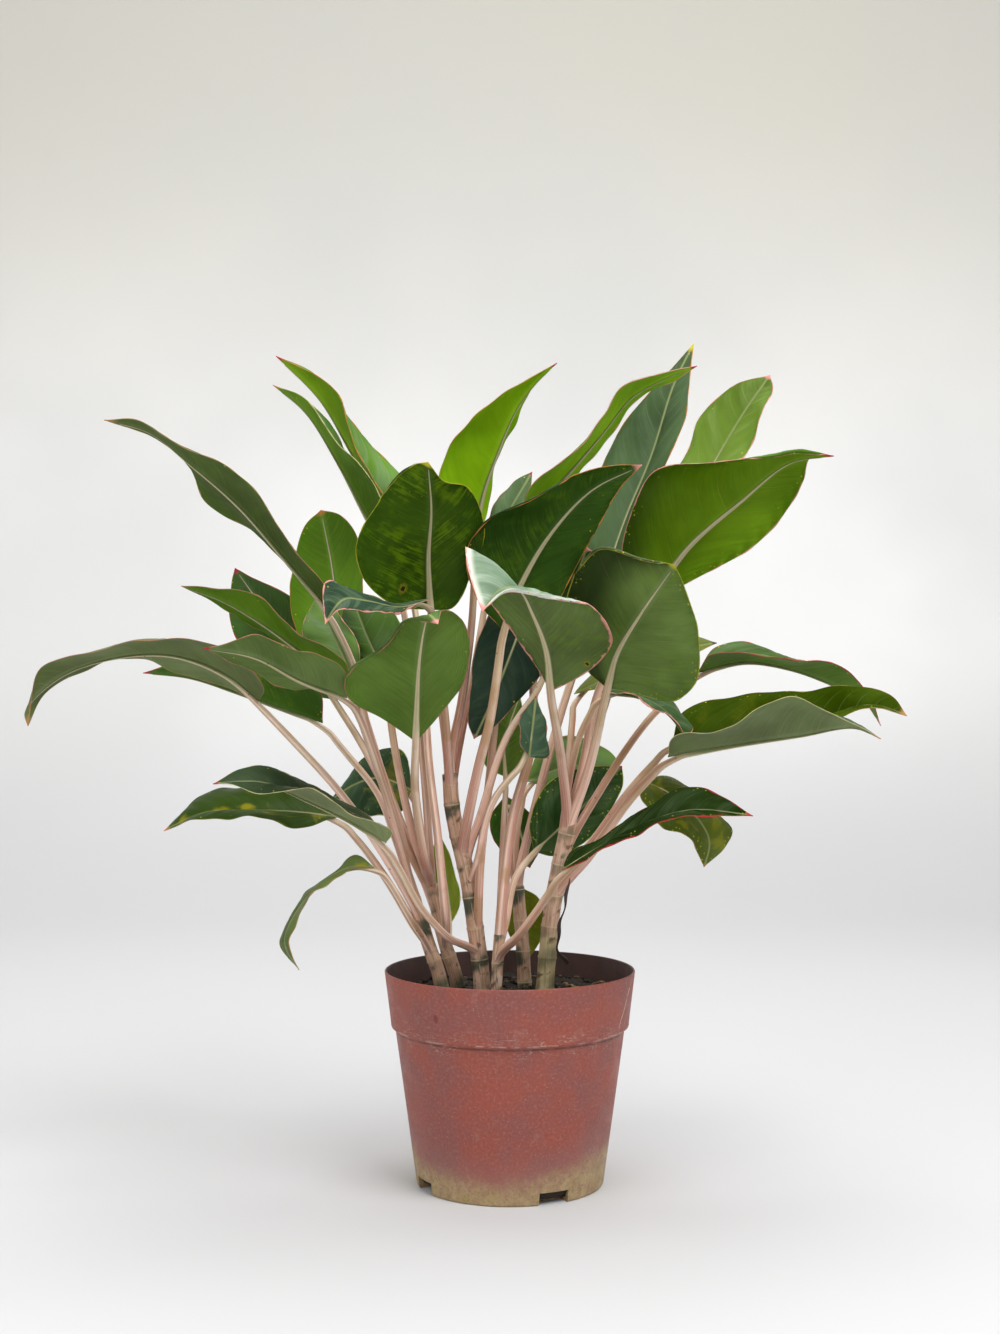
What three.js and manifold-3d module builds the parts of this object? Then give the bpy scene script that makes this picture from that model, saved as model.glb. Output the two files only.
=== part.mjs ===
// A potted Chinese evergreen: a red-brown plastic nursery pot, soil, roots, six ringed canes with pink
// petioles, and 43 leaves.
// Millimetres, +Z up. The origin is the centre of the pot's underside, and -Y is the front.
import * as THREE from "three";
import { mergeVertices } from "three/addons/utils/BufferGeometryUtils.js";
import Module from "manifold-3d";

const wasm = await Module();
wasm.setup();

// Driving dimensions
const CLEARANCE = 0.3; // between two pieces that touch
const SCRAP = 60; // the most cubic millimetres that a loose scrap may have
const POT = {
  rim: 100, collar: 95, shoulder: 91.5, foot: 75, // radii, from the top down
  height: 170, collarDrop: 44, ledge: 3, wall: 1.8, floor: 3,
  round: 2, // at the corner of wall and floor
  lip: 1, // at the top edge
  sides: 36,
};
const NOTCH = { count: 4, first: 26.5, width: 25, height: 10, depth: 13 }; // the first in degrees
const SOIL = {
  top: 151, rings: [82, 62, 40, 20, 0], edge: 1, gap: 0.7, corner: 3.5, sides: 18,
  lump: { height: 2.2, x: 7, y: 8 }, // how high, and how long along X and Y
  crumb: { height: 1, x: 3.1, y: 4.3 },
};
const CANE_ROOTED = 45; // how far a cane goes down into the soil
const CANE_NODE_STEP = 25; // from one ring on a cane to the next
const CANE_RING = 0.05; // how far a ring stands out, as a share of the radius
const CANE_TAPER = 0.12;
const CANE_SIDES = 8;
const CANE_ROOM = 0.7; // round a cane, in the soil and in its sheaths
const CANE_END = 0.008; // the share of its path that is left free at each end
const BLADE_THICK = 1;
const BLADE_FOOT = 0.012; // the share of its edge that a blade has left behind at its foot
const BLADE_TIP = 0.995; // and at its tip
const END_HALF = 1.6; // half the width of the blunt foot and tip
const END_REACH = 0.05; // the share of the blade over which they keep one direction
const BOW = 0.09; // how far each half of a blade bulges up, as a share of its width
const WAVE = 2.2; // height of the waves along a blade's edge
const WAVES = 2.4; // how many there are
const LEAF_PHASE = 2.4; // from one leaf's waves to the next leaf's
const SHEATH_WRAP = 2; // how far the sheaths stand out from the cane that they wrap
const SHEATH_LIP = 1.6; // and how much further at the lip of each
const SHEATH_STEP = 17; // from one lip to the next
const SHEATH_BARE = 5.5; // the least of a cane that is bare above the soil
const SHEATH_RISE = 24; // how far up the cane a petiole runs before it leaves
const STALK_FLARE = 0.8; // a stalk's radius where it leaves, as a share of the cane's
const STALK_LEAN = 0.35; // how far it has gone from the cane's middle by then, as a share of the radius
const STALK_STEP = 54;
const PETIOLE_LOW = 3.8; // a stalk's radius above the sheaths
const PETIOLE_HIGH = 2.7; // and at the blade
const RIB_START = 0.1; // the shares of the blade between which the raised rib runs under it
const RIB_END = 0.8;
const RIB_END_RADIUS = 0.9;
const RIB_TAPER = 0.6; // under 1, the rib thins soon after the foot
const SHARP_TURN = 0.2; // below this cosine, the rib is a tube of its own
const THIN_SIDES = 5; // of a stalk or a root

// Places on the plant are seen from one fixed eye, level with the leaves: [across, down, depth] is a
// pixel of a 1000 x 1334 picture and a depth in millimetres behind the pot's axis.
const EYE = { x: -8, y: -1500, z: 412 };
const PICTURE = { x: 500, y: 667, focus: 1870 };

// Each cane is a path in millimetres, and the waves of its leaves count on from "wave". A leaf starts
// "start" millimetres up the cane from the soil line. It is drawn by its rib, from foot to tip, and by
// its left and right edges, as its upper side shows them. "via" are the places that its petiole passes
// on the way down to the cane.
const STEMS = [
  {
    name: "left", radius: 6, wave: 0,
    path: [[-52, -12, 105], [-54, -12, 155], [-66, -12, 195], [-78, -12, 232], [-84, -12, 250]],
    leaves: [
      {
        start: 8,
        rib: [
          [374, 867, -62], [350, 868, -76], [322, 882, -94],
          [300, 907, -104], [285, 942, -112], [299, 970, -114],
        ],
        left: [[350, 871, -88], [318, 889, -108], [302, 915, -118], [288, 940, -122]],
        right: [[355, 855, -64], [332, 874, -80], [295, 908, -94], [281, 943, -104]],
        via: [[386, 878, -50], [410, 917, -40]],
      },
      {
        start: 12,
        rib: [[338, 817, -5], [298, 812, -9], [250, 811, -14], [205, 813, -18], [164, 831, -20]],
        left: [[298, 827, -32], [245, 817, -44], [198, 820, -36]],
        right: [[305, 792, 18], [245, 785, 24], [208, 794, 14], [186, 808, -2]],
        via: [[364, 848, -10], [390, 885, -14], [413, 924, -16]],
      },
      {
        start: 32,
        rib: [
          [258, 702, -28], [225, 675, -33], [175, 656, -42], [120, 657, -50],
          [62, 676, -57], [25, 712, -62], [28, 726, -62],
        ],
        left: [
          [264, 688, -46], [243, 661, -62], [195, 641, -76],
          [140, 638, -82], [90, 655, -82], [40, 668, -74],
        ],
        right: [[230, 690, -8], [180, 672, -4], [148, 661, -12], [100, 665, -24], [50, 688, -44]],
        via: [[297, 745, -25], [332, 783, -30], [357, 815, -32], [386, 858, -30]],
      },
      {
        start: 40,
        rib: [[323, 723, 36], [280, 708, 32], [235, 692, 26], [190, 678, 20], [143, 673, 14]],
        left: [[318, 690, 10], [285, 673, 4], [240, 668, 0], [188, 662, 2]],
        right: [[304, 690, 64], [255, 668, 68], [195, 661, 52]],
        via: [[345, 752, 26], [378, 794, 10], [396, 840, 0]],
      },
      {
        start: 52,
        rib: [[347, 698, -76], [300, 681, -104], [255, 658, -130], [204, 648, -152]],
        left: [[345, 670, -104], [300, 650, -126], [257, 636, -144], [225, 644, -154]],
        right: [[345, 694, -66], [290, 688, -88], [248, 671, -114], [220, 656, -138]],
        via: [[358, 715, -60], [378, 770, -42], [396, 830, -28]],
      },
      {
        start: 62,
        rib: [[352, 692, -38], [305, 655, -45], [262, 624, -50], [222, 601, -50], [181, 586, -48]],
        left: [[345, 664, -58], [300, 632, -66], [250, 594, -68], [212, 587, -60]],
        right: [[330, 676, -20], [280, 647, -26], [240, 617, -32], [210, 601, -40]],
        via: [[364, 730, -20], [384, 790, -14], [402, 848, -10]],
      },
      {
        start: 74,
        rib: [
          [330, 612, -45], [280, 553, -56], [240, 508, -66],
          [192, 466, -76], [150, 433, -82], [104, 420, -86],
        ],
        left: [[333, 600, -64], [285, 535, -80], [228, 466, -94], [172, 441, -96], [135, 420, -90]],
        right: [[300, 578, -36], [245, 528, -38], [208, 502, -44], [190, 470, -60], [150, 436, -76]],
        via: [[352, 662, -38], [366, 720, -30], [386, 785, -26], [404, 846, -22]],
      },
    ],
  },
  {
    name: "inner_left", radius: 6, wave: 8,
    path: [[-40, 8, 105], [-42, 8, 155], [-52, 8, 188], [-60, 8, 222], [-64, 8, 240]],
    leaves: [
      {
        start: 8,
        rib: [[450, 926, 44], [446, 885, 62], [438, 830, 76]],
        left: [[460, 903, 60], [452, 862, 74]],
        right: [[436, 900, 56], [431, 862, 70]],
        via: [],
      },
      {
        start: 20,
        rib: [[412, 790, 50], [380, 778, 68], [352, 786, 82], [328, 803, 92]],
        left: [[402, 810, 40], [372, 817, 52], [346, 812, 72]],
        right: [[404, 752, 68], [375, 750, 86], [350, 776, 96]],
        via: [[425, 850, 30]],
      },
      {
        start: 26,
        rib: [[335, 700, 96], [300, 650, 112], [262, 605, 126], [235, 568, 134]],
        left: [[352, 655, 92], [315, 615, 100], [275, 588, 112], [250, 576, 124]],
        right: [[290, 690, 122], [250, 662, 136], [231, 620, 144], [231, 584, 140]],
        via: [[365, 750, 46], [400, 820, 26]],
      },
      {
        start: 34,
        rib: [[350, 690, 58], [340, 630, 70], [332, 565, 82], [321, 510, 94]],
        left: [[368, 650, 50], [362, 600, 58], [359, 540, 70], [340, 515, 84]],
        right: [[310, 670, 80], [292, 612, 92], [294, 560, 98], [304, 527, 98]],
        via: [[372, 745, 45], [400, 820, 28]],
      },
      {
        start: 42,
        rib: [[352, 678, 4], [338, 645, 10], [316, 597, 22]],
        left: [[333, 668, 10], [303, 640, 20], [306, 618, 26]],
        right: [[361, 655, -2], [350, 630, 2], [332, 606, 14]],
        via: [[375, 750, 12], [400, 830, 12]],
      },
      {
        start: 50,
        rib: [[384, 672, -2], [368, 638, 6], [352, 596, 20]],
        left: [[354, 662, 14], [342, 630, 26], [343, 606, 28]],
        right: [[404, 655, -8], [400, 620, -4], [375, 596, 10]],
        via: [[395, 750, 2], [412, 830, 6]],
      },
      {
        start: 56,
        rib: [[398, 572, 34], [367, 518, 44], [338, 463, 54], [306, 413, 66], [273, 385, 74]],
        left: [[400, 532, 14], [372, 484, 24], [345, 450, 36], [325, 423, 50], [300, 396, 64]],
        right: [[380, 515, 64], [352, 462, 78], [328, 424, 84], [302, 397, 80]],
        via: [[412, 660, 20], [424, 770, -2], [430, 850, -6]],
      },
      {
        start: 10,
        rib: [[408, 560, 72], [384, 500, 84], [355, 458, 92], [320, 400, 102], [276, 356, 110]],
        left: [[398, 520, 50], [372, 480, 60], [351, 430, 70], [338, 398, 82], [318, 376, 94]],
        right: [[428, 500, 98], [396, 468, 112], [365, 442, 120], [342, 408, 122], [318, 376, 118]],
        via: [[422, 660, 30], [429, 764, -18], [438, 840, -32], [445, 915, -29]],
      },
      {
        start: 62,
        rib: [
          [416, 742, -85], [417, 705, -108], [419, 662, -145],
          [425, 624, -182], [429, 615, -196], [438, 624, -208],
        ],
        left: [[440, 715, -78], [462, 684, -96], [470, 645, -128], [459, 615, -165], [443, 611, -188]],
        right: [[382, 718, -70], [347, 696, -85], [352, 668, -118], [385, 642, -148], [408, 620, -180]],
        via: [[415, 790, -62], [424, 855, -34]],
      },
    ],
  },
  {
    name: "centre", radius: 7, wave: 16,
    path: [
      [-20, -14, 105], [-22, -14, 155], [-27, -14, 201],
      [-34, -14, 245], [-46, -14, 300], [-48, -14, 330],
    ],
    leaves: [
      {
        start: 8,
        rib: [[386, 843, -62], [350, 821, -74], [310, 802, -84], [262, 783, -94], [213, 784, -102]],
        left: [[391, 832, -82], [352, 812, -100], [308, 791, -114], [258, 792, -118], [230, 785, -110]],
        right: [[366, 812, -50], [325, 795, -60], [276, 767, -70], [238, 771, -86]],
        via: [[400, 870, -50], [420, 906, -46], [447, 936, -40]],
      },
      {
        start: 60,
        rib: [[529, 757, -34], [532, 730, -30], [536, 696, -26]],
        left: [[520, 742, -38], [522, 714, -32]],
        right: [[547, 757, -28], [546, 726, -22]],
        via: [[493, 802, -30], [478, 860, -26]],
      },
      {
        start: 78,
        rib: [[541, 686, -13], [556, 640, -30], [572, 592, -44], [587, 547, -54]],
        left: [[538, 650, -22], [548, 605, -36], [567, 574, -46]],
        right: [[566, 650, -28], [582, 600, -44], [596, 556, -52]],
        via: [[506, 739, -14], [482, 812, -18]],
      },
      {
        start: 88,
        rib: [[503, 630, -50], [522, 582, -62], [552, 532, -74], [592, 490, -86], [642, 465, -98]],
        left: [[540, 625, -58], [570, 580, -68], [600, 522, -80], [621, 488, -90]],
        right: [
          [480, 604, -64], [466, 560, -76], [485, 521, -90],
          [530, 498, -98], [585, 472, -102], [615, 465, -102],
        ],
        via: [[490, 720, -46], [479, 765, -44], [469, 812, -40]],
      },
      {
        start: 12,
        rib: [
          [522, 520, 0], [560, 482, -6], [600, 436, -12],
          [632, 397, -18], [662, 380, -24], [697, 366, -30],
        ],
        left: [[560, 500, 18], [590, 462, 16], [618, 422, 8], [645, 396, 0], [672, 382, -12]],
        right: [[528, 492, -22], [570, 453, -30], [606, 415, -38], [626, 384, -42], [655, 374, -40]],
        via: [[500, 600, 8], [497, 690, 14], [491, 765, 0], [480, 870, -24]],
      },
      {
        start: 130,
        rib: [[492, 560, 34], [503, 525, 42], [532, 472, 52]],
        left: [[480, 545, 36], [491, 512, 46], [513, 482, 54]],
        right: [[512, 545, 28], [523, 508, 38], [531, 487, 48]],
        via: [[476, 660, 12]],
      },
      {
        start: 160,
        rib: [
          [474, 540, -20], [482, 496, -26], [496, 456, -34],
          [516, 410, -44], [535, 384, -50], [557, 363, -56],
        ],
        left: [[484, 520, 2], [493, 480, 4], [504, 446, -4], [523, 404, -20], [541, 379, -38]],
        right: [[446, 515, -38], [441, 476, -48], [453, 437, -58], [492, 404, -66], [522, 382, -64]],
        via: [[472, 620, -18], [462, 700, -14]],
      },
      {
        start: 150,
        rib: [[430, 610, -55], [428, 560, -78], [431, 510, -108], [428, 462, -140]],
        left: [[452, 608, -52], [472, 575, -62], [484, 525, -84], [468, 488, -108], [443, 480, -128]],
        right: [
          [395, 606, -68], [366, 582, -82], [356, 552, -98],
          [370, 515, -118], [396, 476, -136], [413, 465, -142],
        ],
        via: [[440, 690, -32]],
      },
      {
        start: 140,
        rib: [[430, 599, -100], [402, 607, -122], [366, 601, -146], [343, 600, -164], [325, 624, -184]],
        left: [[412, 607, -120], [385, 615, -148], [358, 609, -168], [338, 611, -178]],
        right: [[414, 604, -88], [390, 605, -104], [366, 597, -124], [346, 585, -146], [324, 584, -168]],
        via: [[440, 670, -70], [446, 730, -46]],
      },
    ],
  },
  {
    name: "front", radius: 5, wave: 25,
    path: [[-11, -33, 105], [-11, -33, 155], [-10, -33, 180], [-8, -32, 205]],
    leaves: [
      {
        start: 8,
        rib: [[562, 870, -78], [598, 848, -92], [640, 826, -104], [690, 811, -116], [753, 816, -130]],
        left: [[572, 850, -64], [602, 838, -74], [640, 813, -78], [678, 787, -84], [722, 797, -108]],
        right: [[590, 859, -104], [615, 843, -118], [655, 826, -134], [700, 816, -138]],
        via: [[541, 905, -64], [519, 935, -54]],
      },
      {
        start: 16,
        rib: [[507, 778, 20], [505, 745, 28], [520, 695, 38]],
        left: [[522, 765, 14], [526, 728, 26]],
        right: [[485, 765, 28], [484, 728, 38]],
        via: [[503, 840, -6]],
      },
      {
        start: 24,
        rib: [[530, 600, -6], [512, 650, -14], [492, 700, -22], [474, 739, -26]],
        left: [[546, 634, -4], [541, 672, -8], [515, 705, -18], [494, 727, -24]],
        right: [[500, 600, -12], [478, 640, -22], [470, 690, -28], [468, 722, -30]],
        via: [[532, 740, 4], [512, 820, -12]],
      },
      {
        start: 14,
        rib: [[534, 852, 26], [562, 826, 30], [592, 798, 34], [622, 766, 38]],
        left: [[530, 822, 28], [546, 785, 32], [580, 768, 36]],
        right: [[556, 856, 22], [590, 838, 26], [613, 806, 30], [623, 784, 34]],
        via: [[515, 879, 8], [505, 925, -16]],
      },
    ],
  },
  {
    name: "right", radius: 7.5, wave: 28,
    path: [[28, -4, 105], [28, -4, 155], [31, -4, 193], [36, -4, 233], [44, -4, 272], [49, -4, 292]],
    leaves: [
      {
        start: 50,
        rib: [[668, 757, -60], [729, 746, -78], [800, 736, -96], [855, 728, -108], [881, 739, -116]],
        left: [[690, 742, -34], [750, 728, -40], [810, 716, -56], [850, 720, -86]],
        right: [[673, 738, -82], [715, 731, -104], [755, 711, -122], [795, 699, -130], [845, 719, -124]],
        via: [[630, 800, -35], [590, 855, -18]],
      },
      {
        start: 60,
        rib: [[672, 742, -12], [740, 735, -20], [810, 722, -30], [870, 706, -36], [907, 716, -40]],
        left: [[684, 712, 8], [752, 692, 6], [800, 694, -4], [845, 684, -14], [890, 695, -28]],
        right: [[690, 746, -36], [750, 740, -50], [830, 719, -62], [875, 709, -56]],
        via: [[630, 790, -10], [594, 840, -6]],
      },
      {
        start: 44,
        rib: [[646, 782, 22], [672, 795, 26], [700, 822, 26], [709, 842, 24], [704, 867, 22]],
        left: [[668, 775, 44], [700, 798, 48], [732, 828, 42], [722, 850, 32]],
        right: [[640, 797, 8], [660, 824, 6], [690, 840, 12]],
        via: [[605, 830, 12]],
      },
      {
        start: 80,
        rib: [
          [697, 673, 40], [745, 662, 34], [790, 669, 30],
          [830, 684, 28], [865, 702, 24], [881, 726, 22],
        ],
        left: [[715, 648, 54], [750, 644, 56], [790, 656, 54], [830, 672, 50], [862, 694, 38]],
        right: [[712, 656, 16], [750, 652, 10], [800, 663, 8], [840, 664, 8], [866, 690, 12]],
        via: [[650, 718, 28], [600, 790, 10]],
      },
      {
        start: 70,
        rib: [[601, 692, -2], [640, 697, -18], [668, 714, -34], [687, 739, -46]],
        left: [[618, 686, 10], [658, 694, 4], [692, 725, -24]],
        right: [[625, 694, -24], [655, 708, -42], [678, 725, -50]],
        via: [[577, 744, -2]],
      },
      {
        start: 90,
        rib: [[574, 694, 52], [630, 668, 66], [680, 650, 74], [717, 643, 76]],
        left: [[585, 680, 76], [630, 646, 92], [692, 636, 92]],
        right: [[594, 690, 38], [640, 690, 46], [690, 656, 62]],
        via: [[569, 760, 26]],
      },
      {
        start: 96,
        rib: [[655, 590, 0], [690, 545, -12], [740, 502, -28], [790, 463, -44], [834, 456, -56]],
        left: [[672, 590, 8], [725, 563, 0], [775, 528, -14], [803, 480, -34], [810, 458, -46]],
        right: [
          [626, 575, -14], [622, 545, -22], [634, 505, -36], [655, 472, -48],
          [715, 461, -58], [770, 455, -62], [800, 450, -60],
        ],
        via: [[600, 690, 24], [584, 765, 8]],
      },
      {
        start: 86,
        rib: [[690, 505, 66], [718, 456, 76], [742, 416, 80], [770, 375, 80]],
        left: [[672, 478, 78], [690, 448, 90], [702, 412, 94], [738, 384, 90]],
        right: [[722, 485, 56], [750, 446, 60], [764, 410, 66], [773, 388, 76]],
        via: [[622, 655, 34], [585, 770, 10]],
      },
      {
        start: 102,
        rib: [[607, 688, -48], [618, 652, -76], [640, 615, -102], [660, 586, -124], [675, 565, -140]],
        left: [[640, 694, -50], [672, 703, -66], [697, 680, -84], [698, 635, -104], [686, 590, -124]],
        right: [[588, 672, -60], [568, 632, -78], [568, 592, -98], [600, 546, -126], [642, 558, -140]],
        via: [[590, 765, -24]],
      },
      {
        start: 106,
        rib: [
          [550, 692, -78], [546, 650, -112], [533, 614, -146],
          [519, 589, -168], [500, 590, -186], [482, 612, -206],
        ],
        left: [
          [590, 671, -80], [612, 640, -104], [597, 612, -132],
          [560, 597, -158], [530, 591, -180], [505, 591, -196],
        ],
        right: [
          [541, 674, -88], [518, 640, -112], [490, 604, -140],
          [472, 572, -158], [465, 547, -174], [467, 568, -190],
        ],
        via: [[562, 765, -32]],
      },
    ],
  },
  {
    name: "back", radius: 6, wave: 38,
    path: [[14, 26, 105], [12, 27, 155], [10, 30, 190], [6, 34, 236]],
    leaves: [
      {
        start: 24,
        rib: [[516, 884, 62], [522, 920, 68], [530, 957, 66]],
        left: [[505, 902, 66], [511, 938, 68]],
        right: [[541, 902, 66], [541, 938, 66]],
        via: [],
      },
      {
        start: 36,
        rib: [[505, 795, 66], [518, 825, 74], [530, 868, 80]],
        left: [[490, 820, 70], [500, 850, 78]],
        right: [[532, 815, 70], [541, 845, 76]],
        via: [[508, 850, 46]],
      },
      {
        start: 48,
        rib: [[527, 781, 56], [572, 766, 66], [622, 772, 72]],
        left: [[543, 745, 66], [580, 737, 78], [612, 754, 80]],
        right: [[558, 790, 52], [600, 794, 60]],
        via: [[516, 840, 50]],
      },
      {
        start: 56,
        rib: [[598, 600, 78], [625, 520, 100], [652, 455, 118], [674, 385, 132], [694, 343, 140]],
        left: [[578, 560, 92], [590, 500, 114], [612, 442, 132], [648, 395, 140]],
        right: [[632, 560, 72], [655, 490, 88], [684, 425, 106], [688, 393, 122]],
        via: [[562, 710, 52], [532, 820, 42]],
      },
    ],
  },
];

// Roots that have crept out on top of the soil, in millimetres.
const ROOTS = [
  [[42, -36, 151], [50, -10, 152.5], [60, 8, 152], [70, 22, 152.5]],
  [[58, 4, 152], [70, -6, 153], [82, -8, 152]],
  [[60, 8, 152], [50, 22, 152.5], [44, 38, 152]],
];
const ROOT_RADIUS = 1.8;
const ROOT_STEPS = 4;
const ROOT_TAPER = 0.1; // lost at each step

// The point that a place in the picture stands for.
function seen([across, down, depth]) {
  const share = (depth - EYE.y) / PICTURE.focus;
  return new THREE.Vector3(EYE.x + (across - PICTURE.x) * share, depth, EYE.z - (down - PICTURE.y) * share);
}

function smoothCurve(points) {
  return new THREE.CatmullRomCurve3(points, false, "centripetal");
}

// Booleans
function solidOf(geometry) {
  const bare = geometry.clone();
  bare.deleteAttribute("normal");
  bare.deleteAttribute("uv");
  const merged = mergeVertices(bare, 1e-4);
  return new wasm.Manifold(new wasm.Mesh({
    numProp: 3,
    vertProperties: new Float32Array(merged.attributes.position.array),
    triVerts: new Uint32Array(merged.index.array),
  }));
}

// The one body of a solid, as a geometry: a loose scrap is dropped, but nothing larger.
function geometryOf(solid) {
  const bodies = solid.decompose();
  bodies.sort((a, b) => b.volume() - a.volume());
  if (bodies.length > 1 && bodies[1].volume() > SCRAP) throw new Error("A piece has come apart.");
  const { vertProperties, triVerts } = bodies[0].getMesh();
  return new THREE.BufferGeometry()
    .setAttribute("position", new THREE.BufferAttribute(new Float32Array(vertProperties), 3))
    .setIndex(new THREE.BufferAttribute(new Uint32Array(triVerts), 1));
}

function geometryFrom(vertices, triangles) {
  return new THREE.BufferGeometry()
    .setAttribute("position", new THREE.Float32BufferAttribute(vertices.flatMap((v) => v.toArray()), 3))
    .setIndex(triangles);
}

// A closed tube through the points, with its own radius at each.
function tube(points, radii, sides) {
  const vertices = [];
  const triangles = [];
  let across = null;
  points.forEach((point, i) => {
    const before = points[Math.max(i - 1, 0)];
    const after = points[Math.min(i + 1, points.length - 1)];
    const along = after.clone().sub(before).normalize();
    across = across || new THREE.Vector3(0, 1, 0).cross(along);
    across.addScaledVector(along, -across.dot(along)).normalize();
    const up = along.clone().cross(across);
    for (let k = 0; k < sides; k++) {
      const angle = (2 * Math.PI * k) / sides;
      vertices.push(point.clone()
        .addScaledVector(across, radii[i] * Math.cos(angle))
        .addScaledVector(up, radii[i] * Math.sin(angle)));
    }
  });
  const last = points.length - 1;
  for (let i = 0; i < last; i++)
    for (let k = 0; k < sides; k++) {
      const a = i * sides + k;
      const b = i * sides + ((k + 1) % sides);
      triangles.push(a, b, b + sides, a, b + sides, a + sides);
    }
  for (let k = 1; k < sides - 1; k++) {
    triangles.push(0, k + 1, k);
    triangles.push(last * sides, last * sides + k, last * sides + k + 1);
  }
  return geometryFrom(vertices, triangles);
}

// A leaf's shape: s runs from its foot, 0, to its tip, 1, and v from its left edge, -1, to its right, 1.
function leafShape(leaf, phase) {
  const foot = leaf.rib[0];
  const tip = leaf.rib[leaf.rib.length - 1];
  const rib = smoothCurve(leaf.rib.map(seen));
  const left = smoothCurve([foot, ...leaf.left, tip].map(seen));
  const right = smoothCurve([foot, ...leaf.right, tip].map(seen));

  // The rib's place at s, with the two halves out from it to the edges and the upper side's direction.
  // The foot and the tip are blunt, and lie across the rib as the blade does just beside them.
  function station(s) {
    const point = rib.getPointAt(s);
    const along = rib.getTangentAt(s);
    const edgesAt = (share) => [left, right].map((edge) => edge.getPointAt(share));
    const [leftPoint, rightPoint] = edgesAt(BLADE_FOOT + (BLADE_TIP - BLADE_FOOT) * s);
    const [leftNear, rightNear] = edgesAt(THREE.MathUtils.clamp(s, END_REACH, 1 - END_REACH));
    const upper = rightNear.sub(leftNear).cross(along).normalize();
    const side = along.clone().cross(upper).multiplyScalar(END_HALF);
    const blunt = s === 0 || s === 1;
    const halves = blunt ? [side.clone().negate(), side] : [leftPoint.sub(point), rightPoint.sub(point)];
    return { point, halves, upper };
  }

  function surface(s, v) {
    const { point, halves, upper } = station(s);
    const half = halves[v < 0 ? 0 : 1];
    const out = Math.abs(v);
    const bulge = 4 * BOW * half.length() * out * (1 - out);
    const wave = WAVE * out ** 3 * Math.sin(Math.PI * s) * Math.sin(2 * Math.PI * WAVES * s + phase + v);
    return point.addScaledVector(half, out).addScaledVector(upper, bulge + wave);
  }

  return { station, surface };
}

const LONG_ROWS = [0, 0.05, 0.15, 0.28, 0.43, 0.58, 0.73, 0.88, 1];
const SHORT_ROWS = [0, 0.08, 0.25, 0.5, 0.75, 1];
const BLADE_COLUMNS = [-1, -0.5, 0, 0.5, 1];

function rowsOf(leaf) {
  return leaf.rib.length > 3 ? LONG_ROWS : SHORT_ROWS;
}

// The blade of a leaf: its upper and lower faces are split alike, each half the thickness from its
// middle surface, and a rim joins them.
function blade(leaf, phase) {
  const { surface } = leafShape(leaf, phase);
  const rows = rowsOf(leaf);
  const columns = BLADE_COLUMNS.length;
  const middle = rows.flatMap((s) => BLADE_COLUMNS.map((v) => surface(s, v)));
  const faces = [];
  for (let i = 0; i < rows.length - 1; i++)
    for (let j = 0; j < columns - 1; j++) {
      const a = i * columns + j;
      faces.push([a, a + 1, a + columns + 1], [a, a + columns + 1, a + columns]);
    }
  const sheet = geometryFrom(middle, faces.flat());
  sheet.computeVertexNormals();
  const normals = middle.map((point, i) => new THREE.Vector3().fromBufferAttribute(sheet.attributes.normal, i));
  const offset = (amount) => middle.map((point, i) => point.clone().addScaledVector(normals[i], amount));
  const vertices = [...offset(BLADE_THICK / 2), ...offset(-BLADE_THICK / 2)];
  const under = middle.length;
  const triangles = faces.flatMap(([a, b, c]) => [a, b, c, under + a, under + c, under + b]);
  const rim = (a, b) => triangles.push(b, a, under + a, b, under + a, under + b);
  for (let j = 0; j < columns - 1; j++) {
    rim(j, j + 1);
    rim(under - 1 - j, under - 2 - j);
  }
  for (let i = 0; i < rows.length - 1; i++) {
    rim((i + 1) * columns, i * columns);
    rim((i + 1) * columns - 1, (i + 2) * columns - 1);
  }
  return geometryFrom(vertices, triangles);
}

// A petiole: a stalk that flares where it leaves the cane, and the raised rib under the blade.
function petiole(stem, leaf) {
  const curve = caneCurve(stem);
  const length = curve.getLength();
  const at = (distance) => curve.getPointAt(Math.min(1, distance / length));
  const { station } = leafShape(leaf, 0);
  const under = (s, radius) => {
    const { point, upper } = station(s);
    return point.addScaledVector(upper, -(radius + BLADE_THICK / 2 + CLEARANCE));
  };
  const start = CANE_ROOTED + leaf.start;
  const foot = under(0, PETIOLE_HIGH);
  const vias = leaf.via.map(seen).reverse();
  const towards = (vias[0] || foot).clone().sub(at(start)).normalize();
  const leaving = at(start + SHEATH_RISE).addScaledVector(towards, STALK_LEAN * stem.radius);
  const stalk = smoothCurve([at(start), leaving, ...vias, foot]);
  const steps = Math.max(2, Math.round((stalk.getLength() - SHEATH_RISE) / STALK_STEP));
  const leave = SHEATH_RISE / stalk.getLength();
  const points = [stalk.getPointAt(0)];
  const radii = [STALK_FLARE * stem.radius];
  for (let i = 0; i <= steps; i++) {
    points.push(stalk.getPointAt(leave + (1 - leave) * (i / steps)));
    radii.push(PETIOLE_LOW + (PETIOLE_HIGH - PETIOLE_LOW) * (i / steps));
  }
  const ribPoints = [];
  const ribRadii = [];
  for (const s of rowsOf(leaf).filter((row) => row > RIB_START && row < RIB_END)) {
    const radius = PETIOLE_HIGH + (RIB_END_RADIUS - PETIOLE_HIGH) * (s / RIB_END) ** RIB_TAPER;
    ribPoints.push(under(s, radius));
    ribRadii.push(radius);
  }
  const turn = ribPoints[0].clone().sub(foot).normalize().dot(stalk.getTangentAt(1));
  if (turn > SHARP_TURN) return solidOf(tube([...points, ...ribPoints], [...radii, ...ribRadii], THIN_SIDES));
  const rib = tube([foot, ...ribPoints], [PETIOLE_HIGH, ...ribRadii], THIN_SIDES);
  return solidOf(tube(points, radii, THIN_SIDES)).add(solidOf(rib));
}

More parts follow.
